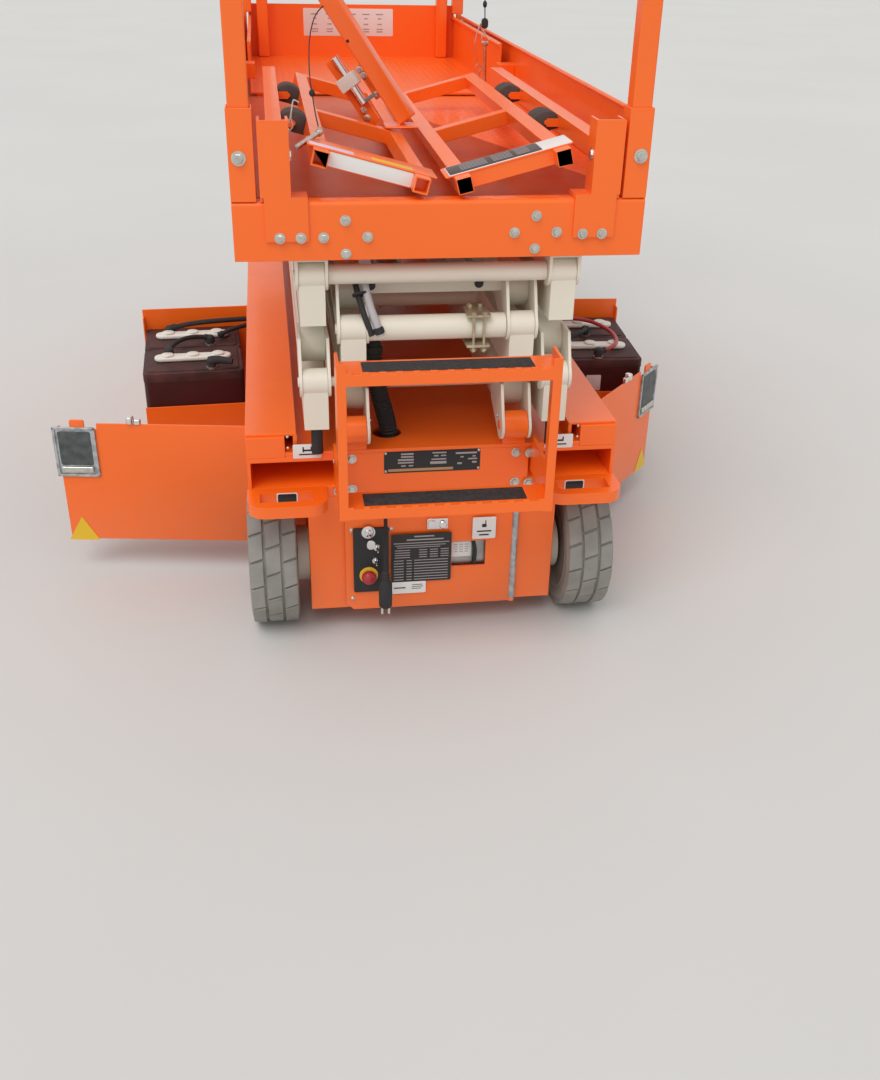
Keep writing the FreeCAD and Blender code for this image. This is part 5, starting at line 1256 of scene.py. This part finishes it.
class LIFT_OT_lead(bpy.types.Operator):
    """Charging lead from its gland over the door down to its plug"""

    bl_idname = "lift.lead"
    bl_label = "Charging lead"

    ROUTE = mm((-110, -1101, 325), (-110.2, -1118.7, 325), (-110.8, -1135.1, 318.2),
               (-111.6, -1147.6, 305.7), (-112.4, -1154.3, 289.4), (-113.4, -1156, 259.4),
               (-113.8, -1155.2, 227.8), (-113, -1154.3, 196))

    def execute(self, context):
        lead = cord_curve("charging_lead_line", self.ROUTE, 0.004, "rear_door", *own("black_rubber"))
        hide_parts("charging_lead")
        low, high = low_high("lead_plug")
        centre = (low + high) / 2
        plug = lathe([(0.0, 0.0125), (0.003, 0.0145), (0.036, 0.015), (0.058, 0.0145), (0.063, 0.0115),
                      (0.067, 0.010), (0.070, 0.0088), (0.073, 0.0098), (0.076, 0.0083), (0.079, 0.0093),
                      (0.082, 0.0075), (0.085, 0.0085), (0.093, 0.0050)], 28)
        foot = (centre[0], centre[1], low[2] + 0.020)
        end = piece("lead_plug_body", turned(plug, LEVEL, foot), "rear_door", *own("black_rubber"))
        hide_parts("lead_plug")
        prong = lathe([(-0.020, 0.0018), (-0.0185, 0.003), (0.002, 0.003)], 14)
        spots = mm((-7.5, 0, 0), (7.5, 0, 0)) + foot
        prongs = piece("lead_prongs", repeated(prong, spots), "rear_door", *own("chrome_steel"))
        sleeve = drawn(lead)[:16]
        relief = piece("lead_relief", pipe(sleeve, np.linspace(0.0078, 0.0046, len(sleeve)), 16, (1, 0, 0)),
                       "rear_door", *own("black_rubber"))
        declared(lead)
        return {"FINISHED"}


class LIFT_PT_panel(bpy.types.Panel):
    """Lists the lift's sizes, colours and pieces"""

    bl_label = "Scissor Lift"
    bl_space_type = "VIEW_3D"
    bl_region_type = "UI"
    bl_category = "Scissor Lift"

    def draw(self, context):
        layout = self.layout
        for group in ("lift_finish", "lift_tyres", "lift_stage"):
            box = layout.box()
            holder = getattr(context.scene, group)
            for field in type(holder).__annotations__:
                box.prop(holder, field)
        for operator in OPERATORS:
            layout.operator(operator.bl_idname)


GROUPS = {"lift_finish": LiftFinish, "lift_tyres": LiftTyres, "lift_stage": LiftStage}
OPERATORS = (LIFT_OT_stage, LIFT_OT_lead, LIFT_OT_lanyards, LIFT_OT_stack, LIFT_OT_battery_cables,
             LIFT_OT_frames, LIFT_OT_tyres, LIFT_OT_batteries, LIFT_OT_rear_door, LIFT_OT_hardware,
             LIFT_OT_ladder, LIFT_OT_rear_signs, LIFT_OT_side_doors, LIFT_OT_gates)


def register():
    for name, group in GROUPS.items():
        bpy.utils.register_class(group)
        setattr(bpy.types.Scene, name, PointerProperty(type=group))
    for operator in OPERATORS:
        bpy.utils.register_class(operator)
    bpy.utils.register_class(LIFT_PT_panel)


def unregister():
    bpy.utils.unregister_class(LIFT_PT_panel)
    for operator in reversed(OPERATORS):
        bpy.utils.unregister_class(operator)
    for name, group in GROUPS.items():
        delattr(bpy.types.Scene, name)
        bpy.utils.unregister_class(group)


def main():
    """Registers the classes and makes every piece in order."""
    register()
    for operator in OPERATORS:
        group, name = operator.bl_idname.split(".")
        getattr(getattr(bpy.ops, group), name)()


if __name__ == "__main__":
    main()
